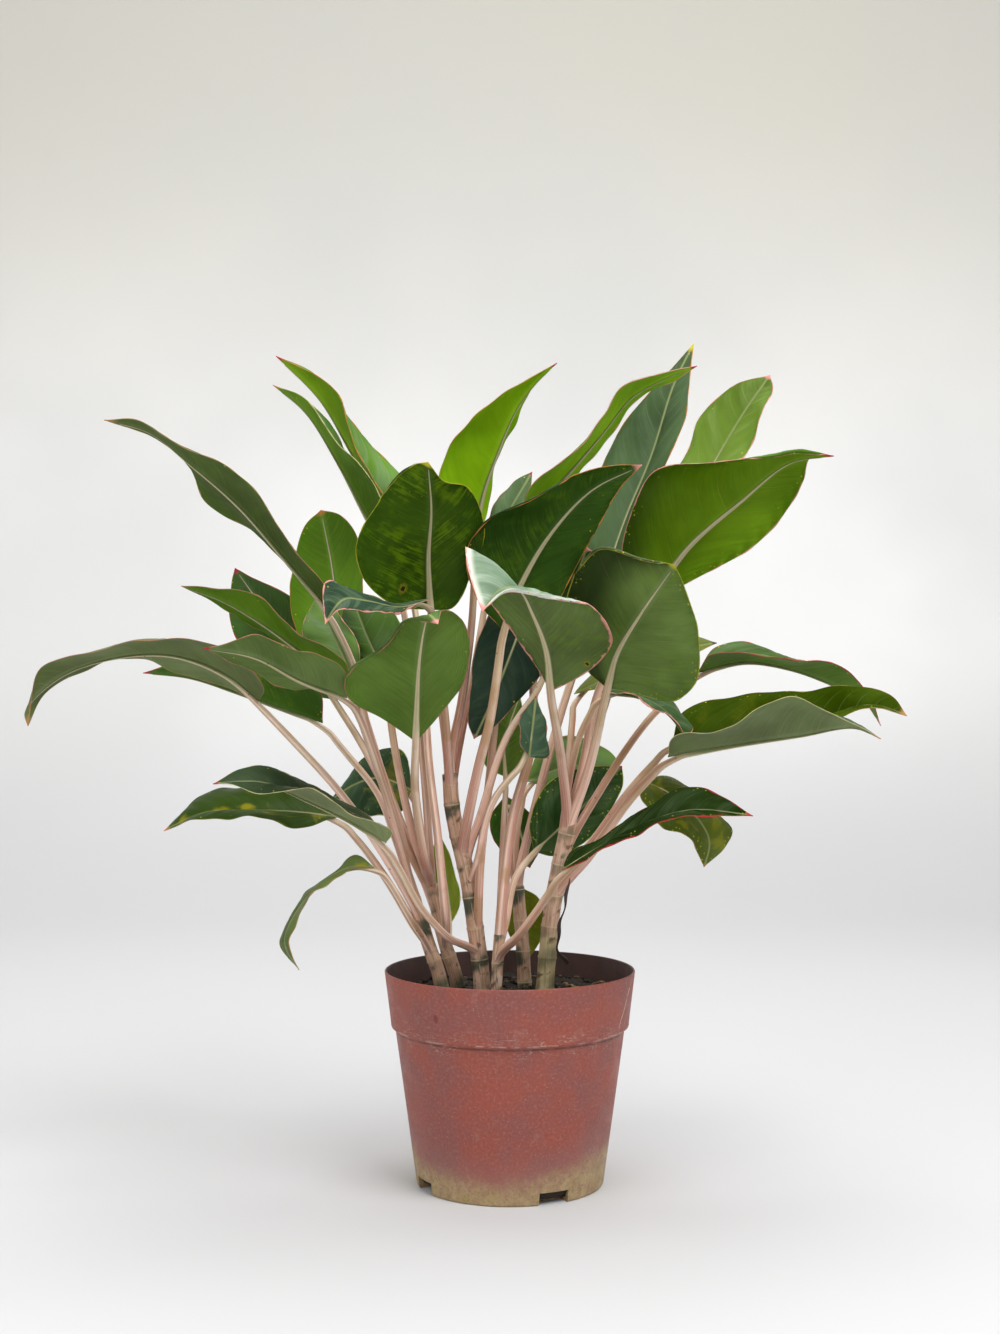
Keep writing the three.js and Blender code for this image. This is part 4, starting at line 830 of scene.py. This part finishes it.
def pot_material():
    f = Finish("worn_plastic", Specular_IOR_Level=0.4)
    x, y, z = f.split(f.place)[:3]
    turn = f.math("ARCTAN2", x, f.times(y, -1.0))
    flat = f.vector(f.times(turn, 0.09), z)
    tall = f.vector(f.times(turn, 0.09), f.times(z, 0.06))
    wide = f.vector(f.times(turn, 0.022), f.add(z, f.times(turn, 0.004)))
    mottle = f.noise(26, 4, roughness=0.6)
    fine = f.noise(420, 3, flat, roughness=0.7)
    dust = f.noise(60, 5, flat, 0.6, 0.65)
    f.base((150, 74, 60), (134, 76, 70), mottle, 0.35, 0.68)
    f.coat((160, 104, 92), f.noise(190, 3, tall, 0.3), 0.5, 0.75, most=0.1)
    f.coat((168, 112, 100), fine, 0.48, 0.74, most=0.5)
    f.coat((122, 60, 50), fine, 0.46, 0.3, most=0.4)
    f.coat((168, 134, 124), dust, 0.55, 0.8, most=0.4)
    f.coat((200, 166, 150), f.times(f.specks(420, 0.2, 0.12, flat), 0.45))

    # Pale hairlines round the seam under the collar, the collar's worn lower edge, and a painted shadow line
    # under the collar.
    seam = (POT["height"] - POT["drop"]) * MM
    off = f.gap(f.add(z, f.times(f.noise(40, 3, flat), 0.008)), seam + 0.004)
    hairline = f.ease(f.gap(f.noise(260, 3, wide, 0.8), 0.5), 0.022, 0.006)
    scuff = f.times(hairline, f.ease(off, 0.014, 0.002), f.ease(f.noise(70, 3, flat), 0.4, 0.62))
    f.coat((204, 174, 160), f.times(scuff, 0.6))
    lip = f.ease(f.gap(f.add(z, f.times(f.noise(25, 2, flat), 0.003)), seam + 0.0012), 0.0012, 0.0002)
    f.coat((190, 150, 132), f.times(lip, f.ease(f.noise(130, 3, flat), 0.4, 0.6), 0.7))
    # Painted shadow: a dark line just under the collar's step.
    groove = f.ease(f.gap(z, seam - 0.003), 0.0014, 0.0002)
    f.coat((78, 46, 38), f.times(groove, f.ease(f.noise(90, 2, flat), 0.3, 0.55), 0.75))

    # A pale crack down the right end of the collar, and a dark red blot at its left.
    slant = f.add(1.096, f.times(f.add(z, -0.132), 5.34), f.times(f.add(f.noise(150, 3), -0.5), 0.05))
    crack = f.times(f.ease(f.gap(turn, slant), 0.011, 0.003), f.ease(z, 0.128, 0.132),
                    f.ease(z, 0.168, 0.16), f.ease(f.noise(240, 3), 0.3, 0.5))
    f.coat((214, 196, 172), f.times(crack, 0.8))
    blot = f.length(f.vector(f.times(f.add(turn, 0.628), 0.097), f.times(f.add(z, -0.1444), 0.75)))
    f.coat((118, 40, 36), f.add(blot, f.times(f.noise(400, 2), 0.001)), 0.0034, 0.0022, most=0.75)
    outside = f.colour

    # The mineral crust at the foot, higher at the sides than in front.
    climb = f.times(f.math("POWER", f.size(f.math("SINE", f.add(turn, 0.25))), 2.0), 0.018)
    rise = f.math("SUBTRACT", z, f.add(0.001, climb, f.times(f.noise(30, 4, flat, 0.5), 0.018)))
    crust = f.ease(f.noise(110, 6, flat, 0.5, 0.7), 0.25, 0.75)
    f.base((146, 120, 88), (182, 160, 118), crust)
    f.coat((152, 134, 76), f.noise(55, 3, flat), 0.5, 0.7, most=0.55)
    f.coat((116, 90, 66), f.noise(420, 3, flat), 0.52, 0.72, most=0.6)
    f.coat((136, 96, 84), f.noise(150, 4, flat, 0.5), 0.56, 0.7, most=0.5)
    clay, f.colour = f.colour, outside
    haze = f.ease(rise, 0.04, 0.002)
    f.coat((142, 104, 98), f.times(haze, 0.5))
    ragged = f.add(rise, f.times(f.math("SUBTRACT", f.noise(330, 4, flat), 0.5), 0.014))
    f.coat((190, 164, 122), f.times(f.specks(900, 0.34, 0.3, flat), f.ease(ragged, 0.024, 0.004), 0.6))
    f.coat(clay, f.times(f.ease(ragged, 0.016, -0.006), 0.94))
    # Painted shade: the inside of the pot is darker.
    f.coat(f.mix(f.noise(60, 4, flat), (66, 46, 42), (98, 74, 70)), f.fact("painted_shade_inside"))
    height = f.add(f.times(mottle, 0.4), f.times(fine, 0.35), f.times(scuff, 0.7), f.times(haze, crust, 0.5))
    f.relief(height, 0.35)
    return f.done(dust, 0.3, 0.75, 0.42, 0.66)


def soil_material():
    f = Finish("potting_soil")
    grain = f.noise(260, 5, roughness=0.7)
    f.base((18, 14, 11), (58, 46, 36), grain)
    f.coat((120, 98, 72), f.fact("pale"), 0.86, 0.9, most=0.7)
    f.relief(grain, 1.2)
    return f.done(grain, 0.2, 0.8, 0.8, 1.0)


def root_material():
    f = Finish("dry_root")
    patch = f.noise(120, 4)
    f.base((92, 68, 44), (180, 146, 98), patch, 0.35, 0.65)
    f.relief(f.noise(700, 3), 0.5)
    return f.done(patch, 0.3, 0.7, 0.7, 0.9)


def paper_material():
    f = Finish("pale_paper_painted_shade")
    x, _, z = f.split(f.place)[:3]
    # Painted shade: the floor is darker than the wall and darker still towards the right, and the wall
    # darkens towards the top.
    wall = f.mix(f.ease(z, 0.55, 1.75), (252, 252, 252), (222, 220, 209))
    floor_painted_shade = f.mix(f.ease(x, -0.6, 1.6), (216, 216, 219), (204, 204, 207))
    f.base(floor_painted_shade, wall, z, 0.01, 0.5)
    f.coat((214, 215, 215), f.noise(1.1, 3), 0.3, 0.7, most=0.5)
    f.relief(f.noise(30, 3), 0.3)
    return f.done(f.noise(3), 0, 1, 0.8, 0.95)


# Leaves

class LeafShape:
    """A blade: s runs from its foot, 0, to its tip, 1, and v from its left edge, -1, to its right, 1."""

    def __init__(self, leaf, phase):
        foot, tip = leaf["rib"][0], leaf["rib"][-1]
        self.phase = phase
        self.rolls = leaf.get("roll", ())
        self.rib = Curve([seen(p) for p in leaf["rib"]])
        self.edges = [Curve([seen(p) for p in (foot, *leaf[k], tip)]) for k in ("left", "right")]

    def station(self, s):
        point, along = self.rib.by_share(s), self.rib.along(s)
        halves = [edge.by_share(BLADE_FOOT + (BLADE_TIP - BLADE_FOOT) * s) - point for edge in self.edges]
        left, right = (edge.by_share(np.clip(s, END_REACH, 1 - END_REACH)) for edge in self.edges)
        upper = unit(np.cross(right - left, along))
        side = np.cross(along, upper)
        for end, half in ((0, FOOT_HALF), (-1, TIP_HALF)):
            halves[0][end], halves[1][end] = -side[end] * half, side[end] * half
        return point, halves, upper

    def rolled(self, s, v, reach):
        """How wide the strip is that turns back at the margin, for each side's stretches of it."""
        wide = np.zeros_like(reach)
        for side, start, end, width in self.rolls:
            window = ease(s, start, start + 0.12) * ease(s, end, end - 0.1)
            wide += np.where((v < 0) == (side == "left"), width, 0) * window[:, None]
        return np.minimum(wide, ROLL["share"] * reach)

    def surface(self, s, v):
        point, halves, upper = self.station(s)
        half = np.where((v < 0)[None, :, None], halves[0][:, None], halves[1][:, None])
        reach = np.linalg.norm(half, axis=2)
        wide = self.rolled(s, v, reach)
        total = reach + wide
        along = np.abs(v) * total
        turn = ROLL["turn"] * ease(wide, 0, ROLL["full"])
        bend = np.maximum(ROLL["tight"] * wide, ROLL["least"])
        start = reach - bend * np.sin(np.minimum(turn, math.pi / 2))
        past = np.maximum(along - start, 0)
        angle = np.minimum(past / bend, turn)
        beyond = np.maximum(past - bend * turn, 0)
        x = np.minimum(along, start) + bend * np.sin(angle) + beyond * np.cos(turn)
        drop = bend * (1 - np.cos(angle)) + beyond * np.sin(turn)
        flat = wide < 0.02
        x, drop = np.where(flat, along, x), np.where(flat, 0, drop)

        out = x / reach
        s2, v2 = 2 * math.pi * s[:, None], np.sign(v) * out
        swell = np.sin(s2 / 2)
        bulge = 4 * BOW * reach * out * (1 - out)
        wave = WAVE * out**3 * swell * np.sin(WAVES * s2 + self.phase + v2)
        ruffle = RUFFLE["height"] * out**5 * swell * np.sin(RUFFLE["count"] * s2 + 3 * self.phase * v2)
        lift = bulge + wave + ruffle - drop
        return point[:, None] + half * out[..., None] + upper[:, None] * lift[..., None], total, upper


def blade(name, leaf, seed):
    shape = LeafShape(leaf, seed * LEAF_PHASE)
    length = shape.rib.length
    rows = BLADE_ROWS["long" if length > BLADE_ROWS["limit"] else "short"]
    even = np.linspace(0, 1, rows)
    s = 0.6 * even + 0.4 * (1 - np.cos(math.pi * even)) / 2
    outs = ROLL_OUTS if shape.rolls else BLADE_OUTS
    v = np.array([-o for o in outs[:0:-1]] + list(outs))
    middle, reach, upper = shape.surface(s, v)
    normal = unit(np.cross(np.gradient(middle, axis=1), np.gradient(middle, axis=0)))
    held = (1 - ease(s, 0.0, 0.08) * ease(s, 1.0, 0.95))[:, None, None]
    normal = unit(normal * (1 - held) + upper[:, None] * held)

    out = np.abs(v)
    rise = s[:, None]
    from_rib = out * reach
    lean = VEIN_BEND * out**1.15
    vein = length / VEIN_SPACING * (rise - lean) / (1 - lean)
    relief = VEIN_RELIEF * np.cos(2 * math.pi * vein) * out * (1 - out) * 4 * np.minimum(1, reach / 25)
    middle = middle - normal * relief[..., None]
    crease = CREASE["depth"] * np.exp(-((from_rib / CREASE["width"]) ** 2)) * (1 - rise) ** 0.5
    thick = BLADE_THICK / 2 * (1 - EDGE_THIN * out**2)
    points = np.stack([middle + normal * (thick - crease)[..., None], middle - normal * thick[:, None]])

    columns = len(v)
    count = rows * columns
    faces = [face[::-1] for face in grid_faces(rows, columns)]
    faces += grid_faces(rows, columns, count)
    border = [*range(columns)]
    border += [i * columns + columns - 1 for i in range(1, rows)]
    border += [count - 2 - j for j in range(columns - 1)]
    border += [i * columns for i in range(rows - 2, 0, -1)]
    for a, b in zip(border, border[1:] + border[:1]):
        faces.append((b, b + count, a + count, a))
    made = piece(f"blade_{name}", points, faces, leaf_material(f"leaf_{name}", leaf, seed, length),
                 under=[[[0.0]], [[1.0]]], share=rise, across=v, edge=(1 - out) * reach,
                 rib=from_rib * np.sign(v), vein=vein)
    rides(made, "leaf", f"leaf_{name}")


# Petioles and canes

def petiole(shapes, stem, leaf, seed):
    """A stalk that clasps its cane, with a grooved sheath below and the raised rib under the blade."""
    cane, shape = Curve(stem["path"]), LeafShape(leaf, 0)
    stout = leaf.get("stout", 1.0)
    low, high = PETIOLE_LOW * stout, PETIOLE_HIGH * stout
    s = np.linspace(0, RIB_END, max(6, int(shape.rib.length / RIB_STEP)))
    point, _, upper = (found[:-1] for found in shape.station(np.r_[s, 1.0]))
    rib_radius = (high - RIB_LEAST) * (1 - s / RIB_END) ** 1.3 + RIB_LEAST
    rib = point - upper * (BLADE_THICK / 2 + RIB_FLAT * 0.6 * rib_radius)[:, None]

    # The stalk's course, from the cane past what the picture shows of it to the foot of the blade.
    start = CANE_ROOTED + leaf["start"]
    on_cane, above = cane.by_share(np.minimum(1, np.array([start, start + SHEATH_RISE]) / cane.length))
    course = [seen(p) for p in leaf["via"]][::-1] + [rib[0]]
    towards = unit(course[0] - on_cane)
    beside = towards - np.array([0, 0, 1]) * towards[2]
    root = on_cane + unit(beside) * CLASP["lean"] * stem["radius"]
    stalk = Curve([root, above + towards * STALK_LEAN * stem["radius"], *course])
    share = np.linspace(0, 1, max(8, int(stalk.length / STALK_STEP)))[:-1]
    share = share[share < 1 - STALK_STEP / stalk.length]
    line = stalk.by_share(share)
    rise = share * stalk.length
    clasp = max(low, stem["radius"] * CLASP["wide"] * stout)
    radius = low + (high - low) * share + (clasp - low) * (1 - ease(rise, 4, CLASP["length"]))
    radius = radius * np.sqrt(np.clip(1 - (1 - np.minimum(1, (rise + 1.2) / CLASP["toe"])) ** 2, 0.05, 1))

    # Stalk and rib are one tube, whose sizes are read along both.
    kept = s * shape.rib.length > RIB_CLEAR
    knots = np.vstack([line, rib[kept]])
    groove = PETIOLE_GROOVE * ease(rise, 14, 40) * (1 - 0.85 * ease(share, 0.45, 0.8))
    values = dict(
        radius=np.r_[radius, rib_radius[kept]],
        flat=np.r_[np.full(len(line), PETIOLE_FLAT), np.full(kept.sum(), RIB_FLAT)],
        groove=np.r_[groove, np.zeros(kept.sum())],
        share=np.r_[share, 1 + s[kept]],
    )
    curve = Curve(knots)
    chord = np.r_[0, np.cumsum(np.linalg.norm(np.diff(knots, axis=0), axis=1))]
    places = np.linspace(0, 1, int(curve.length / PETIOLE_STEP) + 2)
    path = curve.by_share(places)
    read = {key: np.interp(places * chord[-1], chord, value) for key, value in values.items()}
    first = int(np.argmax(read["share"] >= 1)) or len(path) - 1
    ups = np.zeros_like(path)
    ups[: first + 1] = carried(path[: first + 1], upper[0], back=True)
    tangent = unit(np.gradient(path, axis=0))
    for i in range(first, len(path)):
        wanted = [np.interp(read["share"][i] - 1, s, upper[:, k]) for k in range(3)]
        ups[i] = unit(wanted - tangent[i] * np.dot(wanted, tangent[i]))
    points, faces, around = tube(
        path, read["radius"], read["radius"] * read["flat"], PETIOLE_SIDES, ups, read["groove"])
    shapes.take(points, faces, around=around, share=read["share"][:, None],
                rise=(places * curve.length)[:, None], tint=(seed * 0.618) % 1.0)


def dead_stalk(shapes):
    """The black, dried stalk of a dead leaf, on the right cane."""
    curve = Curve([DEAD_STALK["root"], *(seen(p) for p in DEAD_STALK["path"])])
    share = np.linspace(0, 1, 40)
    path = curve.by_share(share)
    path[:, 0] += 0.7 * np.sin(share * 21)
    radius = DEAD_STALK["radius"] * (1 + 0.35 * np.sin(share * 17) - 0.3 * share)
    points, faces, around = tube(path, radius, 0.6 * radius, 10, carried(path, (0, -1, 0)))
    shapes.take(points, faces, around=around, share=-1.0, rise=300.0, tint=0.5)


def cane(stem):
    """A cane, ringed where its leaves have been."""
    curve = Curve(stem["path"])
    rise = np.arange(2, curve.length - 2, CANE_STEP)
    path = curve.by_share(rise / curve.length)
    beat = (rise / CANE_NODE_STEP) % 1
    gap = np.minimum(beat, 1 - beat)
    radius = stem["radius"] * (1 - CANE_TAPER * rise / curve.length)
    radius = radius * (0.985 + 0.07 * np.exp(-((gap / 0.035) ** 2)) + 0.03 * np.exp(-((gap / 0.2) ** 2)))
    points, faces, around = tube(path, radius, radius, CANE_SIDES, carried(path, (0, 1, 0)))
    rise = rise[:, None]
    points += (points - path[:, None]) * (0.02 * np.sin(3 * around + rise * 0.09))[..., None]
    shapes = Shapes()
    shapes.take(points, faces, around=around, rise=rise, beat=rise / CANE_NODE_STEP)
    shapes.piece(f"ringed_cane_{stem['name']}", cane_material(stem), "cane", f"cane_{stem['name']}")


# Pot, soil and roots

def between(start, end, shares):
    """Points on the straight line between two, at each share of it."""
    return [tuple(a + (b - a) * t for a, b in zip(start, end)) for t in shares]


def pot_outline():
    """The outside up to the rim, and then the rim's round and the inside, as (radius, height)."""
    rim, collar, shoulder, foot, height = (POT[k] for k in ("rim", "collar", "shoulder", "foot", "height"))
    wall, floor = POT["wall"], POT["floor"]
    step = height - POT["drop"]
    under, over = step - POT_LEDGE["under"], step + POT_LEDGE["over"]
    outside = [(0, 0), (30, 0), (foot - 8, 0)]
    for a in np.linspace(0, math.pi / 2, 6):
        outside.append((foot + POT_ROUND * (math.sin(a) - 1), POT_ROUND * (1 - math.cos(a))))
    outside += between((foot, POT_ROUND), (shoulder, under), np.linspace(0.06, 0.97, 16))
    outside += [(shoulder, under), (shoulder + 0.7, under + 1), (collar - 1.2, step - 0.9)]
    outside += [(collar - 0.3, step - 0.2), (collar, step + 1), (collar + 0.1, over)]
    outside += between((collar, over), (rim, height - 1), np.linspace(0.15, 0.93, 6))
    inside = []
    for a in np.linspace(0, math.pi, 8):
        inside.append((rim - wall / 2 * (1 - math.cos(a)), height - 1 + math.sin(a)))
    inside += [(collar - wall, step + 1), (shoulder - wall, step - 1)]
    inside += between((foot - wall, floor), (shoulder - wall, step), (0.7, 0.4, 0.05))
    inside += [(foot - wall - 3, floor), (0, floor)]
    return outside, inside


def pot():
    outside, inside = pot_outline()
    profile = np.array(outside + inside)
    angles = ring(POT_SIDES)
    r, z = profile[:, :1], profile[:, 1:]
    oval = POT_UNEVEN["oval"] * np.sin(2 * angles + 0.6) * (z / POT["height"])
    r = r * (1 + oval + POT_UNEVEN["wavy"] * np.sin(5 * angles + z / 40))
    points = np.stack([r * np.cos(angles), r * np.sin(angles), z + 0 * angles], axis=2)
    # The inside points, which the material paints darker as shade.
    painted_shade_inside = np.r_[np.zeros(len(outside) + 4), np.ones(len(inside) - 4)]
    faces = grid_faces(len(profile), POT_SIDES, closed=True)
    made = piece("nursery_pot", points, faces, pot_material(), painted_shade_inside=painted_shade_inside[:, None])
    join = bmesh.new()
    join.from_mesh(made.data)
    bmesh.ops.remove_doubles(join, verts=join.verts, dist=1e-5)
    bmesh.ops.recalc_face_normals(join, faces=join.faces)
    join.to_mesh(made.data)
    join.free()
    for i in range(NOTCH["count"]):
        cut_notch(made, math.radians(NOTCH["first"] + 360 * i / NOTCH["count"]))
    made.data.shade_smooth()
    made.data.set_sharp_from_angle(angle=math.radians(POT_SHARP))
    rides(made, "pot", "pot")


def cut_notch(made, angle):
    bpy.ops.mesh.primitive_cube_add(size=2 * MM)
    cutter = bpy.context.object
    cutter.scale = (NOTCH["width"] / 2, NOTCH["depth"], NOTCH["height"])
    cutter.location = (POT["foot"] * math.sin(angle) * MM, -POT["foot"] * math.cos(angle) * MM, 0)
    cutter.rotation_euler = (0, 0, angle)
    cut = made.modifiers.new("notch", "BOOLEAN")
    cut.object, cut.operation, cut.solver = cutter, "DIFFERENCE", "EXACT"
    bpy.context.view_layer.objects.active = made
    with bpy.context.temp_override(object=made, active_object=made, selected_objects=[made]):
        bpy.ops.object.modifier_apply(modifier=cut.name)
    bpy.data.objects.remove(cutter)


def unevenness(x, y):
    return 2.2 * np.sin(x / 7 + 1) * np.cos(y / 8) + np.sin(x / 3.1 + y / 4.3)


def soil():
    """A lumpy top, the wall that follows the pot's and a flat underside, with crumbs strewn on top."""
    r = SOIL_EDGE * np.linspace(0, 1, SOIL_RINGS)[:, None] ** 0.85
    around = np.stack([np.cos(ring(SOIL_SIDES)), np.sin(ring(SOIL_SIDES))])
    x, y = r * around[0], r * around[1]
    fine = 0.7 * np.sin(x * 1.3 + 2 * np.sin(y * 0.7)) * np.sin(y * 1.1 + 1.7 * np.sin(x * 0.9))
    z = SOIL_TOP + unevenness(x, y) + fine - 1.2 * ease(r, 88, 96)
    step = POT["height"] - POT["drop"]
    walls = np.array([
        (POT["collar"] - SOIL_GAP, step + 4), (POT["shoulder"] - SOIL_GAP, step - 2),
        (POT["foot"] - SOIL_GAP, 6), (POT["foot"] - 6, 3.4)])
    w, h = walls[:, :1], walls[:, 1:]
    skirt = np.stack([w * around[0], w * around[1], np.broadcast_to(h, (len(walls), SOIL_SIDES))], axis=2)
    rows = SOIL_RINGS + len(walls)
    last = (rows - 1) * SOIL_SIDES
    faces = grid_faces(rows, SOIL_SIDES, closed=True) + [tuple(range(last + SOIL_SIDES - 1, last - 1, -1))]
    shapes = Shapes()
    shapes.take(np.concatenate([np.stack([x, y, z], axis=2), skirt]), faces, pale=0.0)
    for _ in range(CRUMBS["count"]):
        place = CRUMBS["reach"] * math.sqrt(rng.random())
        angle = rng.uniform(0, 2 * math.pi)
        size = rng.uniform(CRUMBS["least"], CRUMBS["most"])
        cx, cy = place * math.cos(angle), place * math.sin(angle)
        points, faces = crumb(size)
        middle = np.array([cx, cy, SOIL_TOP + unevenness(cx, cy) + size * 0.3])
        shapes.take(points + middle, faces, pale=rng.random())
    shapes.piece("potting_soil", soil_material(), "soil", "soil")


def crumb(size):
    """A small angular lump."""
    made = bmesh.new()
    bmesh.ops.create_icosphere(made, subdivisions=1, radius=size)
    stretch = np.array([rng.uniform(0.7, 1.5), rng.uniform(0.7, 1.2), rng.uniform(0.5, 0.9)])
    points = np.array([v.co for v in made.verts])
    points *= stretch * np.array([[rng.uniform(0.75, 1.2)] for _ in points])
    faces = [tuple(v.index for v in face.verts) for face in made.faces]
    made.free()
    return points, faces


def roots():
    shapes = Shapes()
    for path, radius in ROOTS:
        curve = Curve(path)
        share = np.linspace(0, 1, int(curve.length / 1.2) + 4)
        line = curve.by_share(share)
        line[:, 2] += 0.4 * np.sin(share * 17)
        line[:, 0] += 0.5 * np.sin(share * 23 + radius * 9)
        thick = radius * (1 - 0.45 * share) * (1 + 0.12 * np.sin(share * 31))
        points, faces, around = tube(line, thick, thick, 12, carried(line, (0, 0, 1)))
        shapes.take(points, faces, around=around)
    shapes.piece("crept_roots", root_material(), "root", "surface_roots")


# Stage

def placed(name, data, place):
    made = bpy.data.objects.new(name, data)
    made.location = np.array(place) * MM
    bpy.context.scene.collection.objects.link(made)
    return made


def camera():
    data = bpy.data.cameras.new("camera")
    data.sensor_width = 36
    data.lens = data.sensor_width * PICTURE["focus"] / PICTURE["height"]
    data.clip_start, data.clip_end = 0.05, 60
    made = placed("camera", data, EYE)
    made.rotation_euler = (math.pi / 2, 0, 0)
    bpy.context.scene.camera = made


def backdrop():
    """A pale floor that curves up behind the plant into a wall."""
    flat, bend, side, top = (BACKDROP[k] for k in ("flat", "bend", "side", "top"))
    profile = [(y, 0) for y in flat]
    for a in np.linspace(0.1, math.pi / 2, 18):
        profile.append((flat[-1] + bend * math.sin(a), bend - bend * math.cos(a)))
    profile.append((flat[-1] + bend, top))
    points = [(x, y, z) for y, z in profile for x in (-side, side)]
    made = piece("floor", points, grid_faces(len(profile), 2), paper_material())


def light():
    world = bpy.data.worlds.new("studio")
    world.use_nodes = True
    sky = world.node_tree.nodes["Background"].inputs
    sky[0].default_value, sky[1].default_value = DAYLIGHT["colour"], DAYLIGHT["strength"]
    bpy.context.scene.world = world
    for name, place, size, power in LAMPS:
        data = bpy.data.lights.new(name, "AREA")
        data.shape, data.size, data.energy = "DISK", size, power
        towards = Vector(LAMP_AIM) - Vector(place)
        placed(name, data, place).rotation_euler = towards.to_track_quat("-Z", "Y").to_euler()
    bpy.context.scene.view_settings.view_transform = "Standard"


camera()
light()
backdrop()
pot()
soil()
roots()
skin = petiole_material()
for stem in STEMS:
    cane(stem)
    shapes = Shapes()
    for index, leaf in enumerate(stem["leaves"]):
        seed = stem["wave"] + index
        blade(f"{stem['name']}_{index + 1}", leaf, seed)
        petiole(shapes, stem, leaf, seed)
    if stem["name"] == "right":
        dead_stalk(shapes)
    shapes.piece(f"grooved_petioles_{stem['name']}", skin, "petiole", f"petioles_{stem['name']}")
